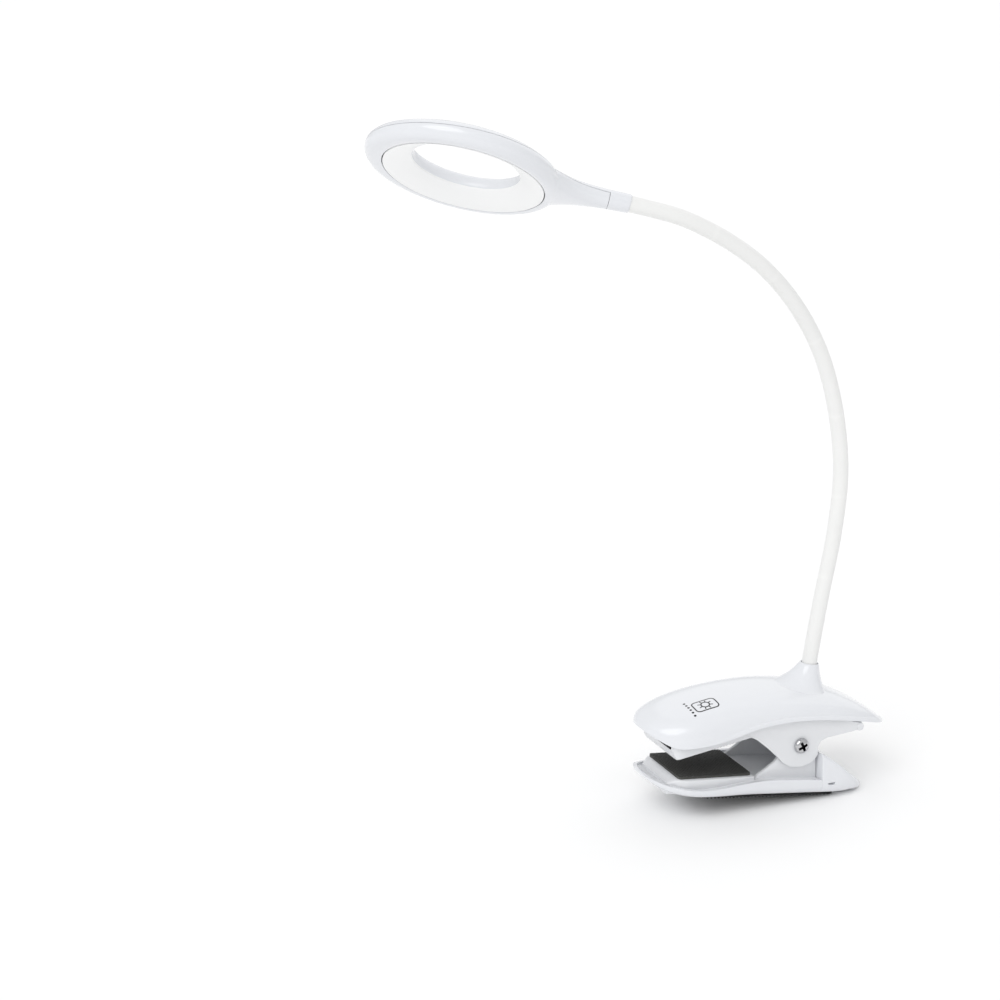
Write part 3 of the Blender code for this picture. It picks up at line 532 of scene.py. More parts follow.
mark_bm = bmesh.new()
corners = bmesh.ops.create_grid(mark_bm, x_segments=1, y_segments=1, size=1.0)["verts"]
bmesh.ops.scale(mark_bm, vec=(MARK_HALF[0], MARK_HALF[1], 1), verts=corners)
bmesh.ops.bevel(mark_bm, geom=corners, offset=FRAME_CORNER, segments=8, profile=0.5, affect="VERTICES",
                material=-1)
ring_of(mark_bm, set(mark_bm.verts), LINE_WIDTH)
disc_bm = bmesh.new()
disc = bmesh.ops.create_circle(disc_bm, cap_ends=True, segments=48, radius=SUN_R)["verts"]
ring_of(disc_bm, set(disc), LINE_WIDTH)
for k in range(RAYS):
    ray = bmesh.ops.create_grid(disc_bm, x_segments=1, y_segments=1, size=0.5)["verts"]
    bmesh.ops.scale(disc_bm, vec=RAY_SIZE, verts=ray)
    bmesh.ops.translate(disc_bm, vec=(RAY_OUT, 0, 0), verts=ray)
    bmesh.ops.rotate(disc_bm, matrix=Matrix.Rotation(math.tau * (k + 0.5) / RAYS, 3, "Z"), verts=ray)
for k in range(DOTS):
    dot = bmesh.ops.create_circle(disc_bm, cap_ends=True, segments=16, radius=DOT_R)["verts"]
    bmesh.ops.translate(disc_bm, vec=(FIRST_DOT[0], FIRST_DOT[1] - DOT_PITCH * k, 0), verts=dot)
pour_into(mark_bm, disc_bm)
bmesh.ops.subdivide_edges(mark_bm, edges=[e for e in mark_bm.edges if e.calc_length() > 1.0], cuts=6,
                          use_grid_fill=True)
for vert in mark_bm.verts:
    x, y = vert.co.x + MARK_CENTRE[0], vert.co.y + MARK_CENTRE[1]
    vert.co = (x, y, shell_height(x, y) + INK_RAISED)
bmesh.ops.recalc_face_normals(mark_bm, faces=mark_bm.faces)
for face in mark_bm.faces:
    if face.normal.z < 0:
        face.normal_flip()
mark = finished("touch_mark", mark_bm, INK)
thicken(mark, INK_DEPTH)
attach(mark, "upper_jaw")

# ---- Jaw frames -------------------------------------------------------------------------------
# The white satin mouldings inside the two jaws: a closing plate under the shell or over the hull,
# a wedge that carries the pad, and a pair of cheeks that meet at the pivot.
SATIN_WHITE = moulded_plastic(
    "satin_white_abs", shade=(0.735, 0.745, 0.765), light=(0.762, 0.770, 0.788), dust=(0.60, 0.60, 0.60),
    gloss=(0.26, 0.36), wave=45.0, grain=2600.0, grain_share=0.5, depth_mm=0.02)
UPPER_SLOPE = math.tan(math.radians(8.3))
PIVOT = Vector((50.0, 0.0, -3.6))
FRAME_GAP = 2.3
WEDGE_HALF_WIDTH = 18.8
BOSS_CENTRE = (84.2, 1.3)
BOSS_R = 2.1
SOCKET_HALF_WIDTH = 4.3
SOCKET_WALL_OUT = 7.0


def round_section(share_round, power):
    """(across, up) on a whole superellipse, a share of the way round it."""
    angle = math.tau * share_round
    return [math.copysign(abs(part) ** (2 / power), part) for part in (math.cos(angle), math.sin(angle))]


def soft_box(share_round, half_y, low, high, x, power=12.0):
    """A point round a soft-cornered box section at x."""
    across, up = round_section(share_round, power)
    return Vector((x, half_y * across, (low + high) / 2 + (high - low) / 2 * up))


def loft_into(bm, along, around, section):
    """Add a closed loft; section(share along, share round) gives its points."""
    part = bmesh.new()
    bent_sheet(part, along, around, section)
    close_up(part)
    pour_into(bm, part)


def plate_into(bm, outline, corner, low_y, high_y, edge):
    """Add a flat plate: an outline in XZ with rounded corners, extruded along Y, edges softened."""
    part = bmesh.new()
    face = part.faces.new([part.verts.new((x, low_y, z)) for x, z in outline])
    bmesh.ops.bevel(part, geom=list(part.verts), offset=corner, segments=4, profile=0.5,
                    affect="VERTICES", clamp_overlap=True, material=-1)
    bmesh.ops.remove_doubles(part, verts=part.verts, dist=0.02)
    grown = bmesh.ops.extrude_face_region(part, geom=list(part.faces))
    moved = [item for item in grown["geom"] if isinstance(item, bmesh.types.BMVert)]
    bmesh.ops.translate(part, verts=moved, vec=(0, high_y - low_y, 0))
    bmesh.ops.recalc_face_normals(part, faces=part.faces)
    flat_faces = [f for f in part.faces if abs(f.normal.y) > 0.9]
    rims = {e for f in flat_faces for e in f.edges}
    bmesh.ops.bevel(part, geom=list(rims), offset=edge, segments=3, profile=0.5, affect="EDGES",
                    clamp_overlap=True, material=-1)
    pour_into(bm, part)


def side_plates_into(bm, outline, corner, inside, outside, edge):
    """Add a like plate on each side, between two distances from the lamp's middle plane."""
    for side in (-1, 1):
        plate_into(bm, outline, corner, *sorted((side * inside, side * outside)), edge)


def upper_plate(share_x, share_round):
    x = crowded(-26.5, 84.5, share_x)
    half = shell_half_width(x) - (FRAME_GAP + 0.05 * max(0.0, x - 60))
    return soft_box(share_round, half, shell_rim(x) + 0.8, shell_rim(x) + 2.4, x)


def upper_wedge(share_x, share_round):
    x = -20.6 + 45.2 * (1 - math.cos(math.pi / 2 * share_x))
    nose = ease(x, -20.8, -17.9)
    half = min(WEDGE_HALF_WIDTH, shell_half_width(x) - 3.0) - 0.8 * (1 - nose)
    low = UPPER_SLOPE * x + 0.4 + (1 - nose) * 5.8
    return soft_box(share_round, half, low, 9.5 + 0.08 * x, x)


upper_frame_bm = bmesh.new()
loft_into(upper_frame_bm, 80, 48, upper_plate)
loft_into(upper_frame_bm, 60, 64, upper_wedge)
upper_cheek = [(14, 9.4), (20, 5.8), (25, 2.9), (31, -2.2), (37, -8.0), (40.2, -11.6), (44.5, -14.4),
               (51, -15.2), (57, -13.6), (60.2, -10.2), (60.0, -6.6), (61.4, -3.2), (65, -1.7),
               (72, -1.2), (79, -0.6), (84.6, 0.2), (86.0, 1.6), (85.8, 3.0), (80, 4.8), (72, 8.4),
               (56, 12.0), (40, 13.0), (24, 11.6)]
boss_outline = [(BOSS_CENTRE[0] + BOSS_R * math.cos(math.tau * k / 10),
                 BOSS_CENTRE[1] + BOSS_R * math.sin(math.tau * k / 10)) for k in range(10)]
end_bar = [(83.8, 0.6), (85.9, 0.6), (85.9, 3.4), (83.8, 3.4)]
socket_sill = [(81.0, 0.8), (85.8, 0.8), (85.8, 1.9), (81.0, 1.9)]
socket_lintel = [(81.0, 5.5), (85.4, 5.5), (85.0, 6.2), (81.0, 6.2)]
socket_jamb = [(81.0, 0.8), (85.8, 0.8), (85.4, 6.2), (81.0, 6.2)]
side_plates_into(upper_frame_bm, upper_cheek, corner=1.6, inside=17.7, outside=19.7, edge=0.5)
side_plates_into(upper_frame_bm, boss_outline, corner=0.5, inside=17.5, outside=20.0, edge=0.35)
side_plates_into(upper_frame_bm, end_bar, corner=0.4, inside=SOCKET_HALF_WIDTH, outside=18.4, edge=0.3)
for outline in (socket_sill, socket_lintel):
    plate_into(upper_frame_bm, outline, 0.3, -SOCKET_WALL_OUT, SOCKET_WALL_OUT, edge=0.2)
side_plates_into(upper_frame_bm, socket_jamb, corner=0.3, inside=SOCKET_HALF_WIDTH, outside=SOCKET_WALL_OUT,
                 edge=0.2)
upper_frame = finished("upper_jaw_frame", upper_frame_bm, SATIN_WHITE, smooth_angle=30.0)
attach(upper_frame, "upper_jaw")
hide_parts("upper_frame")

# ---- Lower hull -------------------------------------------------------------------------------
# The shallow boat-shaped cover of the lower jaw and, in one piece with it, the thumb lever behind
# the pivot: the hull's sides step up there and close over the top down to a blunt tail.
HULL_NOSE = -30.0
HULL_TAIL = 92.0
HULL_HALF_WIDTH = 23.4
LEVER_START = 61.2
LOWER_SLOPE = math.tan(math.radians(7.2))
HULL_CORNER = 8.6
BILGE_SHARE = 0.7
BILGE_POWER = 4.2
HULL_DRAFT = 0.05
LEVER_SIDE_SHARE = 0.7
LEVER_ROUND_SHARE = 0.35
LEVER_EDGE_R = 1.6
LEVER_WALL = WALL + 1.2
LEVER_RECESSES = [[(62.8, -19.8), (67.3, -23.6), (63.9, -23.4)],
                  [(64.2, -24.9), (68.9, -24.7), (68.3, -26.2), (65.2, -25.9)]]
RECESS_OUT, RECESS_IN = -25.0, -20.7


def foot_z(x):
    return -23.2 - LOWER_SLOPE * (x + 5.6)


hull_rim = smooth_curve([(-30, -12.6), (-20, -15.6), (-7, -17.9), (4, -18.4), (15, -17.9), (26, -17.9),
                         (37, -18.9), (50, -20.8), (64, -23.2), (78, -26.4), (92, -31.0)])
hull_keel = smooth_curve([(-30, -13.4), (-26, -17.0), (-17, -20.9), (-6, foot_z(-6)), (20, foot_z(20)),
                          (50, foot_z(50)), (74, foot_z(74)), (84, foot_z(84) + 0.9), (92, -33.2)])
lever_top = smooth_curve([(61, -9.2), (64, -10.8), (67, -12.9), (73, -17.6), (79.2, -22.9), (85.4, -28.2),
                          (90.0, -31.9), (92, -32.9)])


def hull_half_width(x):
    return HULL_HALF_WIDTH * rounded_plan(x, HULL_NOSE, HULL_TAIL, nose_span=33.0, tail_start=52.0,
                                          tail_power=5.0)


def hull_side(x, share, edge):
    """Half a section: from the keel's middle at share 0, round the bilge, up to the edge at 1."""
    keel = hull_keel(x)
    corner = min(HULL_CORNER, (edge - keel) * 0.98)
    half = hull_half_width(x)
    if share < BILGE_SHARE:
        across, drop = quarter(1 - share / BILGE_SHARE, BILGE_POWER)
        return half * across, keel + corner * (1 - drop)
    climb = (share - BILGE_SHARE) / (1 - BILGE_SHARE)
    height = keel + corner + (edge - keel - corner) * climb
    draft = HULL_DRAFT * max(0.0, height - keel - HULL_CORNER)
    return half - min(draft, half * 0.2), height


def hull_point(share_x, share_y):
    x = HULL_NOSE + (LEVER_START - HULL_NOSE) * (1 - math.cos(math.pi / 2 * share_x))
    y, z = hull_side(x, abs(2 * share_y - 1), hull_rim(x))
    return Vector((x, math.copysign(y, share_y - 0.5), z))


def lever_point(share_x, share_y):
    """The lever's skin, from the middle of its top round one side, the keel and the other side."""
    x = LEVER_START + (HULL_TAIL - LEVER_START) * math.sin(math.pi / 2 * share_x)
    top = max(lever_top(x), hull_keel(x) + 0.35)
    shoulder = top - min(LEVER_EDGE_R, 0.3 * (top - hull_keel(x)))
    side = abs(2 * share_y - 1)
    if side <= LEVER_SIDE_SHARE:
        y, z = hull_side(x, side / LEVER_SIDE_SHARE, shoulder)
    else:
        edge_y, edge_z = hull_side(x, 1.0, shoulder)
        turn = (side - LEVER_SIDE_SHARE) / (1 - LEVER_SIDE_SHARE)
        round_r = min(LEVER_EDGE_R, edge_y * 0.5)
        if turn < LEVER_ROUND_SHARE:
            angle = math.pi / 2 * turn / LEVER_ROUND_SHARE
            y = edge_y - round_r * (1 - math.cos(angle))
            z = edge_z + (top - edge_z) * math.sin(angle)
        else:
            y = (edge_y - round_r) * (1 - (turn - LEVER_ROUND_SHARE) / (1 - LEVER_ROUND_SHARE))
            z = top
    return Vector((x, math.copysign(y, share_y - 0.5), z))


def carve(piece, cutter_bm, operation="DIFFERENCE", solver="EXACT", smooth_angle=None, cut_look=None):
    """Cut a closed shape, made in millimetres, out of a piece, or keep only what they share."""
    bmesh.ops.scale(cutter_bm, vec=(MM, MM, MM), verts=cutter_bm.verts)
    mesh = bpy.data.meshes.new("cutter")
    cutter_bm.to_mesh(mesh)
    cutter_bm.free()
    cutter = bpy.data.objects.new("cutter", mesh)
    scene.collection.objects.link(cutter)
    change = piece.modifiers.new("carve", "BOOLEAN")
    change.operation = operation
    change.object = cutter
    change.solver = solver
    if cut_look:
        mesh.materials.append(cut_look)
        change.material_mode = "TRANSFER"
    settle(piece, smooth_angle)
    bpy.data.objects.remove(cutter)
    bpy.data.meshes.remove(mesh)


hull_bm = bmesh.new()
bent_sheet(hull_bm, 90, 84, hull_point)
close_up(hull_bm, capped=False)
hull = finished("lower_hull_cover", hull_bm, GLOSS_WHITE)
thicken(hull, WALL, lip=RIM_ROUND)
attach(hull, "lower_jaw")
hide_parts("lower_hull")

lever_bm = bmesh.new()
bent_sheet(lever_bm, 60, 120, lever_point)
close_up(lever_bm)
front_rim = [edge for edge in lever_bm.edges
             if all(abs(vert.co.x - LEVER_START) < 0.01 for vert in edge.verts)
             and any(len(face.verts) > 8 for face in edge.link_faces)]
bmesh.ops.bevel(lever_bm, geom=front_rim, offset=0.5, segments=3, profile=0.5, affect="EDGES",
                clamp_overlap=True, material=-1)
lever = finished("thumb_lever", lever_bm, GLOSS_WHITE)
thicken(lever, LEVER_WALL)
for recess in LEVER_RECESSES:
    recess_bm = bmesh.new()
    plate_into(recess_bm, recess, 0.25, RECESS_OUT, RECESS_IN, 0.1)
    carve(lever, recess_bm, smooth_angle=35.0)
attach(lever, "lower_jaw")


def lower_plate(share_x, share_round):
    x = crowded(-26.0, 61.0, share_x)
    return soft_box(share_round, hull_half_width(x) - FRAME_GAP, hull_rim(x) - 2.2, hull_rim(x) - 0.7, x)


LOWER_PAD_SLOPE = math.tan(math.radians(5.7))
PAD_NOSE = -16.5
PAD_REAR = 24.0
JAW_GAP_AT_NOSE = 8.8


def lower_pad_face(x):
    return UPPER_SLOPE * PAD_NOSE - JAW_GAP_AT_NOSE - LOWER_PAD_SLOPE * (x - PAD_NOSE)


def lower_wedge(share_x, share_round):
    x = -21.6 + 46.2 * share_x
    nose = ease(x, -21.6, -15.6)
    half = min(WEDGE_HALF_WIDTH, hull_half_width(x) - 3.0) - 1.0 * (1 - nose)
    top = lower_pad_face(x) - 1.3 - (1 - nose) ** 1.5 * 2.6
    return soft_box(share_round, half, -18.9 + 0.04 * (x - 24), top, x)


lower_frame_bm = bmesh.new()
loft_into(lower_frame_bm, 70, 48, lower_plate)
loft_into(lower_frame_bm, 40, 48, lower_wedge)
lower_cheek = [(24, -19.6), (28, -16.6), (32, -14.4), (37.5, -11.0), (40.8, -6.0), (42.4, 0.0), (46, 3.4),
               (50, 4.4), (54.4, 3.2), (57.6, -0.2), (58.8, -4.0), (59.0, -8.6), (60.5, -13.5),
               (61, -24.0), (40, -20.8)]
side_plates_into(lower_frame_bm, lower_cheek, corner=1.4, inside=15.2, outside=17.2, edge=0.4)
lower_frame = finished("lower_jaw_frame", lower_frame_bm, SATIN_WHITE, smooth_angle=30.0)
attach(lower_frame, "lower_jaw")
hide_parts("lower_frame")

# ---- Pads -------------------------------------------------------------------------------------
# Black rubber sheets moulded with a fine diamond relief, glued into the two jaws and under the
# lower hull, where the lamp can also stand on a desk.
def rubber(name, dark, light, grain):
    made, tree, shader = new_finish(name)
    skin = place_group(tree, moulding, wave_scale=220.0, grain_scale=grain, grain_share=0.65)
    wear_and_shade = place_group(tree, wear_and_shade_group, dust_scale=700.0)
    tint = blend_colours(tree, skin.outputs["Tone"], dark, light)
    tree.links.new(blend_colours(tree, wear_and_shade.outputs["Rubbed"], tint, tuple(c * 2.2 for c in light)),
                   shader.inputs["Base Color"])
    tree.links.new(ranged(tree, skin.outputs["Height"], 0.62, 0.85), shader.inputs["Roughness"])
    bumped(tree, shader, skin.outputs["Height"], 0.03)
    shader.inputs["Specular IOR Level"].default_value = 0.35
    return made


JAW_RUBBER = rubber("jaw_pad_rubber", dark=(0.040, 0.041, 0.038), light=(0.062, 0.062, 0.058), grain=3200.0)
FOOT_RUBBER = rubber("foot_pad_rubber", dark=(0.016, 0.016, 0.017), light=(0.028, 0.028, 0.029),
                     grain=2600.0)
JAW_PAD_HALF_WIDTH = 17.0


def diamond(i, j):
    """Height, 0 to 1, of a diamond relief at grid point i, j; a diamond is four steps across."""
    first, second = (i + j) % 4, (i - j) % 4
    return min(2 - abs(first - 2), 2 - abs(second - 2)) / 2


def relief_pad(name, x_ends, half_y, step, face_z, outward, depth, thickness, corner, look):
    """A rubber sheet whose moulded side lies on face_z(x) and faces outward, +1 up or -1 down."""
    x_low, x_high = x_ends
    count_x = round((x_high - x_low) / step) + 8
    count_y = round(2 * half_y / step) + 8
    middle = (x_low + x_high) / 2

    def place(share_x, share_y):
        i, j = round(share_x * count_x), round(share_y * count_y)
        x = middle + (i - count_x / 2) * step
        return Vector((x, (j - count_y / 2) * step, face_z(x) - outward * depth * (1 - diamond(i, j))))

    pad_bm = bmesh.new()
    bent_sheet(pad_bm, count_x, count_y, place)
    grown = bmesh.ops.extrude_face_region(pad_bm, geom=list(pad_bm.faces))
    for vert in grown["geom"]:
        if isinstance(vert, bmesh.types.BMVert):
            vert.co.z = face_z(vert.co.x) - outward * thickness
    bmesh.ops.recalc_face_normals(pad_bm, faces=pad_bm.faces)
    pad = finished(name, pad_bm, look)
    sheet_edge = bmesh.new()
    plate_into(sheet_edge, [(x_low, -half_y), (x_high, -half_y), (x_high, half_y), (x_low, half_y)], corner,
               -60, 60, 0.01)
    bmesh.ops.rotate(sheet_edge, matrix=Matrix.Rotation(math.pi / 2, 3, "X"), verts=sheet_edge.verts)
    carve(pad, sheet_edge, "INTERSECT", "MANIFOLD", smooth_angle=25.0)
    return pad


upper_pad = relief_pad("upper_jaw_pad", (PAD_NOSE, PAD_REAR), JAW_PAD_HALF_WIDTH, step=0.42,
                       face_z=lambda x: UPPER_SLOPE * x, outward=-1, depth=0.3, thickness=2.5, corner=2.0,
                       look=JAW_RUBBER)
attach(upper_pad, "upper_jaw")
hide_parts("upper_pad")
lower_pad = relief_pad("lower_jaw_pad", (PAD_NOSE, PAD_REAR), JAW_PAD_HALF_WIDTH, step=0.42,
                       face_z=lower_pad_face, outward=1, depth=0.3, thickness=1.6, corner=2.0, look=JAW_RUBBER)
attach(lower_pad, "lower_jaw")
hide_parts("lower_pad")
foot_pad = relief_pad("foot_pad_sheet", x_ends=(-4.0, 71.5), half_y=18.0, step=0.52,
                      face_z=lambda x: foot_z(x) - 1.0, outward=-1, depth=0.5, thickness=0.95, corner=3.0,
                      look=FOOT_RUBBER)
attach(foot_pad, "lower_jaw")
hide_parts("foot_pad")

# ---- Pivot hardware ---------------------------------------------------------------------------
# A steel tube through all four cheeks, a bright cross-head screw in each of its ends, and the
# torsion spring wound round it, whose legs push the two jaws together.
def metal(name, dark, light, gloss, grain, depth_mm):
    made, tree, shader = new_finish(name)
    skin = place_group(tree, moulding, wave_scale=350.0, grain_scale=grain, grain_share=0.5)
    wear_and_shade = place_group(tree, wear_and_shade_group, dust_scale=900.0)
    tint = blend_colours(tree, skin.outputs["Tone"], dark, light)
    # Painted shade: hollows blend towards a darker steel, partly dust and partly shade.
    tree.links.new(blend_colours(tree, wear_and_shade.outputs["Dust And Shade"], tint, tuple(c * 0.55 for c in dark)),
                   shader.inputs["Base Color"])
    tree.links.new(ranged(tree, skin.outputs["Height"], *gloss), shader.inputs["Roughness"])
    bumped(tree, shader, skin.outputs["Height"], depth_mm)
    shader.inputs["Metallic"].default_value = 1.0
    return made


BRIGHT_STEEL = metal("nickelled_steel", dark=(0.50, 0.50, 0.51), light=(0.60, 0.60, 0.61), gloss=(0.08, 0.16),
                     grain=2500.0, depth_mm=0.01)
# Painted shade: a near-black steel for the cut faces of the screws' cross slots, standing for the shade inside
# the recess.
PAINTED_SHADE_STEEL = metal("painted_shade_recess_steel", dark=(0.020, 0.020, 0.022), light=(0.040, 0.040, 0.043),
                     gloss=(0.35, 0.5), grain=2500.0, depth_mm=0.02)
ZINC_STEEL = metal("zinc_plated_steel", dark=(0.58, 0.59, 0.62), light=(0.72, 0.73, 0.76), gloss=(0.24, 0.38),
                   grain=3000.0, depth_mm=0.015)
SCREW_SEAT = 19.85
SCREW_TURN = 0.42
SLOT_SIZE = (7.0, 1.75, 4.4)
SLOT_TAPER = (0.55, 0.7)
SLOT_MIDDLE = 2.55
head_profile = [(0.0, -11.0), (0.9, -11.0), (1.45, -10.2), (1.45, 0.0), (3.7, 0.0), (3.95, 0.12), (4.0, 0.35),
                (3.96, 0.75), (3.72, 1.35), (3.2, 1.88), (2.4, 2.26), (1.3, 2.46), (0.0, 2.5)]


def screw_point(turn):
    def place(share_round, share_along):
        step = share_along * (len(head_profile) - 1)
        r, h = head_profile[round(step)]
        angle = math.tau * share_round
        return turn @ Vector((r * math.cos(angle), r * math.sin(angle), h))
    return place


for side, tag in ((-1, "near"), (1, "far")):
    seat = Matrix.Translation(PIVOT + Vector((0, side * SCREW_SEAT, 0)))
    turn = seat @ Matrix.Rotation(math.radians(-90 * side), 4, "X") @ Matrix.Rotation(SCREW_TURN, 4, "Z")
    screw_bm = bmesh.new()
    bent_sheet(screw_bm, 56, len(head_profile) - 1, screw_point(turn))
    close_up(screw_bm)
    screw = finished(f"pivot_screw_{tag}_cross_head", screw_bm, BRIGHT_STEEL, smooth_angle=35.0)
    for quarter_turn in (0.0, math.pi / 2):
        slot_bm = bmesh.new()
        bmesh.ops.create_cube(slot_bm, size=1.0)
        bmesh.ops.scale(slot_bm, vec=SLOT_SIZE, verts=slot_bm.verts)
        for vert in slot_bm.verts:
            if vert.co.z < 0:
                vert.co.x *= SLOT_TAPER[0]
                vert.co.y *= SLOT_TAPER[1]
        bmesh.ops.translate(slot_bm, vec=(0, 0, SLOT_MIDDLE), verts=slot_bm.verts)
        bmesh.ops.transform(slot_bm, matrix=turn @ Matrix.Rotation(quarter_turn, 4, "Z"), verts=slot_bm.verts)
        # The slot's cut faces take the near-black steel of painted shade.
        carve(screw, slot_bm, smooth_angle=30.0, cut_look=PAINTED_SHADE_STEEL)
    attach(screw, "upper_jaw")
    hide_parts(f"pivot_screw_{tag}")

SPRING_R = 4.9
SPRING_WIRE_R = 0.7
SPRING_TURNS = 5
SPRING_PITCH = 1.75
COIL_STARTS, COIL_ENDS = 0.08, 0.9
COIL_TURN = math.tau * SPRING_TURNS + math.radians(168)


def spring_line(share):
    """Upper leg, coil and lower leg of the torsion spring."""
    half = SPRING_TURNS * SPRING_PITCH / 2
    if share < COIL_STARTS:
        mix = share / COIL_STARTS
        return PIVOT + Vector((20.0, -half, 7.4)).lerp(Vector((4.0, -half, 5.2)), mix)
    if share > COIL_ENDS:
        mix = (share - COIL_ENDS) / (1 - COIL_ENDS)
        return PIVOT + Vector((-SPRING_R * 0.2, half, -SPRING_R)).lerp(Vector((18.0, half, -24.2)), mix)
    turn = (share - COIL_STARTS) / (COIL_ENDS - COIL_STARTS)
    angle = math.radians(80) - COIL_TURN * turn
    return PIVOT + Vector((SPRING_R * math.cos(angle), -half + 2 * half * turn, SPRING_R * math.sin(angle)))


def along_line(line, radius, reach=0.002):
    """A tube round a line given by a function of share."""
    def place(share_round, share_along):
        here = line(share_along)
        ahead = (line(min(1.0, share_along + reach)) - line(max(0.0, share_along - reach))).normalized()
        across = ahead.cross(Vector((0.05, 1.0, 0.02))).normalized()
        angle = math.tau * share_round
        return here + radius * (math.cos(angle) * across + math.sin(angle) * ahead.cross(across))
    return place


spring_bm = bmesh.new()
bent_sheet(spring_bm, 14, 420, along_line(spring_line, SPRING_WIRE_R))
close_up(spring_bm)
spring = finished("torsion_spring", spring_bm, ZINC_STEEL)
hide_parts("clamp_spring")
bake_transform(spring)

# ---- Gooseneck --------------------------------------------------------------------------------
# A flexible arm: a spiral-wound steel tube in a smooth satin-white sleeve.  The sleeve is drawn in
# seven lengths, one over each place where the arm can bend.
NECK_POINTS = [
    (63.4, 0, 18), (65.4, 0, 36), (70.2, 0, 66), (76.2, 0, 100), (78.2, 0, 132),
    (72.9, -0.1, 165), (61.8, -1.6, 193.7), (43.4, -3.9, 220.1), (20.3, -5.4, 241.1),
    (-10.9, -3.7, 258.7), (-38.3, 3.0, 267.0), (-51.3, 7.2, 269.9),
]
SLEEVE_ENDS = (3.0, 309.6)
HINGES_AT = [38.0, 80.0, 122.0, 164.0, 206.0, 248.0, 284.0]
BEND_REACH = 11.0
SLEEVE_WALL = 0.85
RING_PITCH = 1.4
HEADING_REACH = 0.6
NECK_SAMPLES = 1500

knots = [0.0]
for here, ahead in zip(NECK_POINTS, NECK_POINTS[1:]):
    knots.append(knots[-1] + (Vector(ahead) - Vector(here)).length)
neck_axes = [smooth_curve([(s, point[axis]) for s, point in zip(knots, NECK_POINTS)]) for axis in range(3)]
neck_samples = [Vector([value(knots[-1] * k / NECK_SAMPLES) for value in neck_axes])
                for k in range(NECK_SAMPLES + 1)]
neck_lengths = [0.0]
for here, ahead in zip(neck_samples, neck_samples[1:]):
    neck_lengths.append(neck_lengths[-1] + (ahead - here).length)


def neck_point(distance):
    """The point of the neck's middle line at a distance along it from its lower end."""
    k = min(range(len(neck_lengths)), key=lambda n: abs(neck_lengths[n] - distance))
    other = k + 1 if distance > neck_lengths[k] and k + 1 < len(neck_samples) else max(k - 1, 0)
    if other == k or abs(neck_lengths[other] - neck_lengths[k]) < 1e-9:
        return neck_samples[k].copy()
    mix = (distance - neck_lengths[k]) / (neck_lengths[other] - neck_lengths[k])
    return neck_samples[k].lerp(neck_samples[other], mix)


SILICONE = moulded_plastic(
    "neck_sleeve_white", shade=(0.800, 0.800, 0.788), light=(0.826, 0.826, 0.814), dust=(0.70, 0.70, 0.68),
    gloss=(0.34, 0.46), wave=70.0, grain=2200.0, grain_share=0.4, depth_mm=0.02)
SILICONE.node_tree.nodes["Principled BSDF"].inputs["Sheen Weight"].default_value = 0.08
splits = [SLEEVE_ENDS[0]] + [(a + b) / 2 for a, b in zip(HINGES_AT, HINGES_AT[1:])] + [SLEEVE_ENDS[1]]
for index, hinge in enumerate(HINGES_AT):
    start, end = splits[index], splits[index + 1]
    steps = round((end - start) / RING_PITCH)
    stations = [start + (end - start) * k / steps for k in range(steps + 1)]
    rings = [neck_point(station) for station in stations]
    headings = [(neck_point(min(station + HEADING_REACH, neck_lengths[-1]))
                 - neck_point(max(station - HEADING_REACH, 0.0))).normalized() for station in stations]

    def sleeve_point(share_round, share_along):
        k = round(share_along * steps)
        across = Vector((0, 1, 0)).cross(headings[k]).normalized()
        angle = math.tau * share_round
        return rings[k] + NECK_R * (math.cos(angle) * across + math.sin(angle) * headings[k].cross(across))

    sleeve_bm = bmesh.new()
    bent_sheet(sleeve_bm, 40, steps, sleeve_point)
    close_up(sleeve_bm, capped=False)
    sleeve = finished(f"gooseneck_sleeve_{index + 1}", sleeve_bm, SILICONE)
    thicken(sleeve, SLEEVE_WALL)
    old_nodes = [f"neck_sleeve_{index}"] + (["neck_sleeve_7"] if index == 6 else [])
    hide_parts(*old_nodes)
    neck_point(hinge - BEND_REACH) * MM
    neck_point(hinge + BEND_REACH) * MM
    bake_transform(sleeve)

# ---- Head housing -----------------------------------------------------------------------------
# The ring-shaped lamp head: a top cover with the hole's wall and the neck's socket in one piece,
# and a base that carries the light's opal ring.  Both are glossy white ABS.
HEAD_CENTRE = Vector((-112.1, 25.1, 279.2))
heading, dip, roll = (math.radians(angle) for angle in (-19.6, 15.0, -25.5))
HEAD = (Matrix.Translation(HEAD_CENTRE) @ Matrix.Rotation(heading, 4, "Z")
        @ Matrix.Rotation(dip, 4, "Y") @ Matrix.Rotation(roll, 4, "X"))
SOCKET_RISE = math.tan(math.radians(3.5))
SPLIT_Z = 7.6
SPLIT_TILT = 2.3
TIP_STRETCH = 0.066
STRETCH_FROM, STRETCH_FULL = 37.5, 43.0
TAIL_START = 28.0
SEAM_X = 66.8
SOCKET_END = 77.5
SOCKET_DEPTH = 4.5
SOCKET_SLACK = 0.12
SEAM_GAP = 0.22
HOLE_WALL_R = 28.0
BASE_BORE_R = 28.3
REACH = 60
VOXEL = 0.62
RING_SECTION = [(25.0, 7.2), (25.2, 6.4), (26.0, 5.0), (37.0, 0.5), (38.2, -0.1), (40.3, -0.15), (41.7, 0.4),
                (43.4, 2.3), (44.2, 4.7), (43.9, 6.8), (42.3, 9.0), (39.2, 10.9), (33.5, 12.55), (28.8, 12.7),
                (27.2, 12.4), (26.3, 11.6), (25.4, 9.4)]


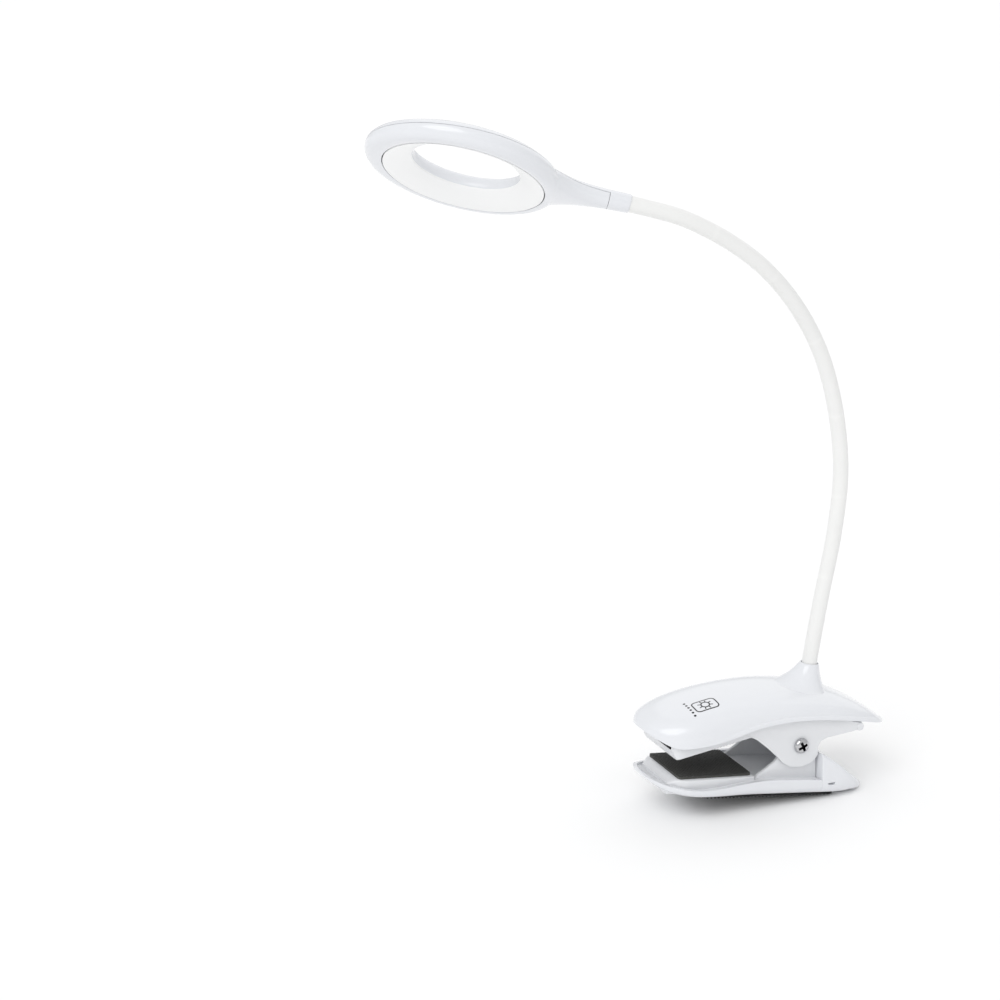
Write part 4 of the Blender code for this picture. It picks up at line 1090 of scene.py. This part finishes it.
def revolve_into(bm, profile, steps, place):
    """Spin a closed (radius, height) profile all the way round the Z axis of place."""
    verts = [bm.verts.new((r, 0.0, h)) for r, h in profile]
    edges = [bm.edges.new(pair) for pair in zip(verts, verts[1:] + verts[:1])]
    bmesh.ops.spin(bm, geom=verts + edges, cent=(0, 0, 0), axis=(0, 0, 1), angle=math.tau,
                   steps=steps, use_merge=True)
    bmesh.ops.remove_doubles(bm, verts=bm.verts, dist=MERGE_DISTANCE)
    bmesh.ops.recalc_face_normals(bm, faces=bm.faces)
    bmesh.ops.transform(bm, matrix=place, verts=bm.verts)


def socket_height(x):
    """Height of the socket's axis, which rises a little towards the neck."""
    return 7.98 + (x - 60.0) * SOCKET_RISE


tail_half_width = smooth_curve([(26, 27.0), (34, 22.4), (40, 17.8), (45, 13.4), (50, 9.8), (55, 7.3),
                                (60, 5.8), (67, 4.75), (77.6, 4.4)])
tail_half_height = smooth_curve([(26, 4.6), (34, 5.3), (45, 5.3), (55, 5.0), (67, 4.6), (77.6, 4.4)])
tail_height = smooth_curve([(26, 6.0), (34, 6.2), (45, 6.9), (60, socket_height(60)),
                            (77.6, socket_height(77.6))])


def tail_point(share_x, share_round):
    x = TAIL_START + (SOCKET_END - TAIL_START) * share_x
    across, up = round_section(share_round, 2.0 + 0.6 * max(0.0, (60 - x) / 32))
    return HEAD @ Vector((x, tail_half_width(x) * across, tail_height(x) + tail_half_height(x) * up))


housing_bm = bmesh.new()
revolve_into(housing_bm, RING_SECTION, 128, Matrix())
for vert in housing_bm.verts:
    if vert.co.x < 0:
        vert.co.x *= 1 + TIP_STRETCH * ease(math.hypot(vert.co.x, vert.co.y), STRETCH_FROM, STRETCH_FULL)
bmesh.ops.transform(housing_bm, matrix=HEAD, verts=housing_bm.verts)
housing = finished("head_housing", housing_bm, GLOSS_WHITE)
tail_bm = bmesh.new()
bent_sheet(tail_bm, 60, 72, tail_point)
close_up(tail_bm)
carve(housing, tail_bm, "UNION", "MANIFOLD")
blend_skin = housing.modifiers.new("blended", "REMESH")
blend_skin.mode = "VOXEL"
blend_skin.voxel_size = VOXEL * MM
smooth_skin = housing.modifiers.new("smoothed", "SMOOTH")
smooth_skin.factor = 0.5
smooth_skin.iterations = 14
settle(housing)


def box_cutter(low, high, place):
    cutter = bmesh.new()
    bmesh.ops.create_cube(cutter, size=1.0)
    bmesh.ops.scale(cutter, vec=Vector(high) - Vector(low), verts=cutter.verts)
    bmesh.ops.translate(cutter, vec=(Vector(high) + Vector(low)) / 2, verts=cutter.verts)
    bmesh.ops.transform(cutter, matrix=place, verts=cutter.verts)
    return cutter


def ring_cutter(profile, steps=128):
    cutter = bmesh.new()
    revolve_into(cutter, profile, steps, HEAD)
    return cutter


CAVITY = [(25.9, 4.0), (25.9, 6.6), (27.3, 10.3), (28.4, 10.9), (34.0, 10.7), (38.2, 9.1), (40.4, 7.9),
          (41.8, 6.3), (42.0, 4.9), (41.0, 3.0), (38.15, 1.9), (38.05, -3.0), (25.9, -3.0)]
carve(housing, ring_cutter(CAVITY), solver="MANIFOLD")
socket_bm = bmesh.new()
bmesh.ops.create_cone(socket_bm, cap_ends=True, segments=48, radius1=NECK_R + SOCKET_SLACK,
                      radius2=NECK_R + SOCKET_SLACK, depth=16.0)
bmesh.ops.rotate(socket_bm, matrix=Matrix.Rotation(math.radians(90) - math.atan(SOCKET_RISE), 3, "Y"),
                 verts=socket_bm.verts)
socket_x = SOCKET_END + 8.0 - SOCKET_DEPTH
bmesh.ops.translate(socket_bm, vec=(socket_x, 0, socket_height(socket_x)), verts=socket_bm.verts)
bmesh.ops.transform(socket_bm, matrix=HEAD, verts=socket_bm.verts)
carve(housing, socket_bm, solver="MANIFOLD")

base = housing.copy()
base.data = housing.data.copy()
base.name = base.data.name = "head_base_ring"
scene.collection.objects.link(base)
housing.name = housing.data.name = "head_top_cover"
SPLIT = (HEAD @ Matrix.Translation((0, 0, SPLIT_Z))
         @ Matrix.Rotation(-math.radians(SPLIT_TILT), 4, "Y"))


def core_cutter(radius):
    return ring_cutter([(0.0, -30.0), (radius, -30.0), (radius, 30.0), (0.0, 30.0)])


under_cutter = box_cutter((-REACH, -REACH, -30), (SEAM_X + SEAM_GAP / 2, REACH, SEAM_GAP / 2), SPLIT)
under = finished("under", under_cutter, GLOSS_WHITE)
carve(under, core_cutter(HOLE_WALL_R), solver="MANIFOLD")
under_bm = bmesh.new()
under_bm.from_mesh(under.data)
bmesh.ops.scale(under_bm, vec=(1 / MM, 1 / MM, 1 / MM), verts=under_bm.verts)
bpy.data.objects.remove(under)
carve(housing, under_bm, solver="MANIFOLD")
for low in ((-REACH, -REACH, -SEAM_GAP / 2), (SEAM_X - SEAM_GAP / 2, -REACH, -30)):
    carve(base, box_cutter(low, (90, REACH, 40), SPLIT), solver="MANIFOLD")
carve(base, core_cutter(BASE_BORE_R), solver="MANIFOLD")
for piece, node in ((housing, "head_cover"), (base, "head_base")):
    smooth_shaded(piece.data, 38)
    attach(piece, "head")
    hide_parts(node)

# ---- Opal ring --------------------------------------------------------------------------------
# The light's cover: a shallow ring-shaped cone moulded in opal acrylic, so that the light chips behind
# it glow as one even ring.  It is clipped into the base.
OPAL = tinted("opal_acrylic", dark=(0.835, 0.84, 0.84), light=(0.86, 0.86, 0.86), gloss=(0.42, 0.55),
              wave=30.0, grain=2400.0, grain_share=0.5)
opal_shader = OPAL.node_tree.nodes["Principled BSDF"]
opal_shader.inputs["Emission Color"].default_value = (1.0, 0.995, 0.985, 1.0)
opal_shader.inputs["Emission Strength"].default_value = 0.05
opal_bm = bmesh.new()
revolve_into(opal_bm, [(25.35, 5.75), (25.5, 5.55), (37.2, 0.0), (37.55, -0.05), (37.6, 0.15), (37.6, 1.4),
                       (27.2, 6.9), (25.35, 6.9)], 128, HEAD)
opal_ring = finished("opal_light_ring", opal_bm, OPAL)
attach(opal_ring, "head")
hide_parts("diffuser_ring")

# ---- Inner parts ------------------------------------------------------------------------------
# What the housings hide: circuit boards, the touch electrode, the flat cell, the power socket, the
# nut under the collar, the wound steel tube and the twin lead inside the neck.
BOARD = tinted("solder_masked_board", dark=(0.78, 0.79, 0.77), light=(0.86, 0.87, 0.85), gloss=(0.3, 0.5),
               wave=500.0, grain=4000.0, grain_share=0.4, depth_mm=0.02)
CELL_WRAP = tinted("cell_wrap", dark=(0.24, 0.34, 0.50), light=(0.32, 0.44, 0.62), gloss=(0.25, 0.4),
                   wave=120.0, grain=1500.0, grain_share=0.4, depth_mm=0.02)
LEAD_SKIN = tinted("lead_insulation", dark=(0.55, 0.07, 0.05), light=(0.68, 0.10, 0.07), gloss=(0.4, 0.55),
                   wave=300.0, grain=2500.0, grain_share=0.4, depth_mm=0.02)
COPPER = metal("copper_foil", dark=(0.70, 0.38, 0.26), light=(0.80, 0.47, 0.33), gloss=(0.25, 0.4),
               grain=2500.0, depth_mm=0.01)
WOUND_STEEL = metal("wound_steel", dark=(0.45, 0.46, 0.48), light=(0.62, 0.63, 0.65), gloss=(0.3, 0.45),
                    grain=1500.0, depth_mm=0.03)
inner_finishes = {"touch_board": BOARD, "driver_board": BOARD, "led_board": BOARD, "touch_electrode": COPPER,
                  "battery_cell": CELL_WRAP, "power_socket": ZINC_STEEL, "neck_nut": ZINC_STEEL,
                  "pivot_tube": ZINC_STEEL}
for k in range(8):
    inner_finishes[f"neck_core_{k}"] = WOUND_STEEL
    inner_finishes[f"neck_lead_{k}"] = LEAD_SKIN
for name, look in inner_finishes.items():
    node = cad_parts[name]
    node.data.materials.clear()
    node.data.materials.append(look)
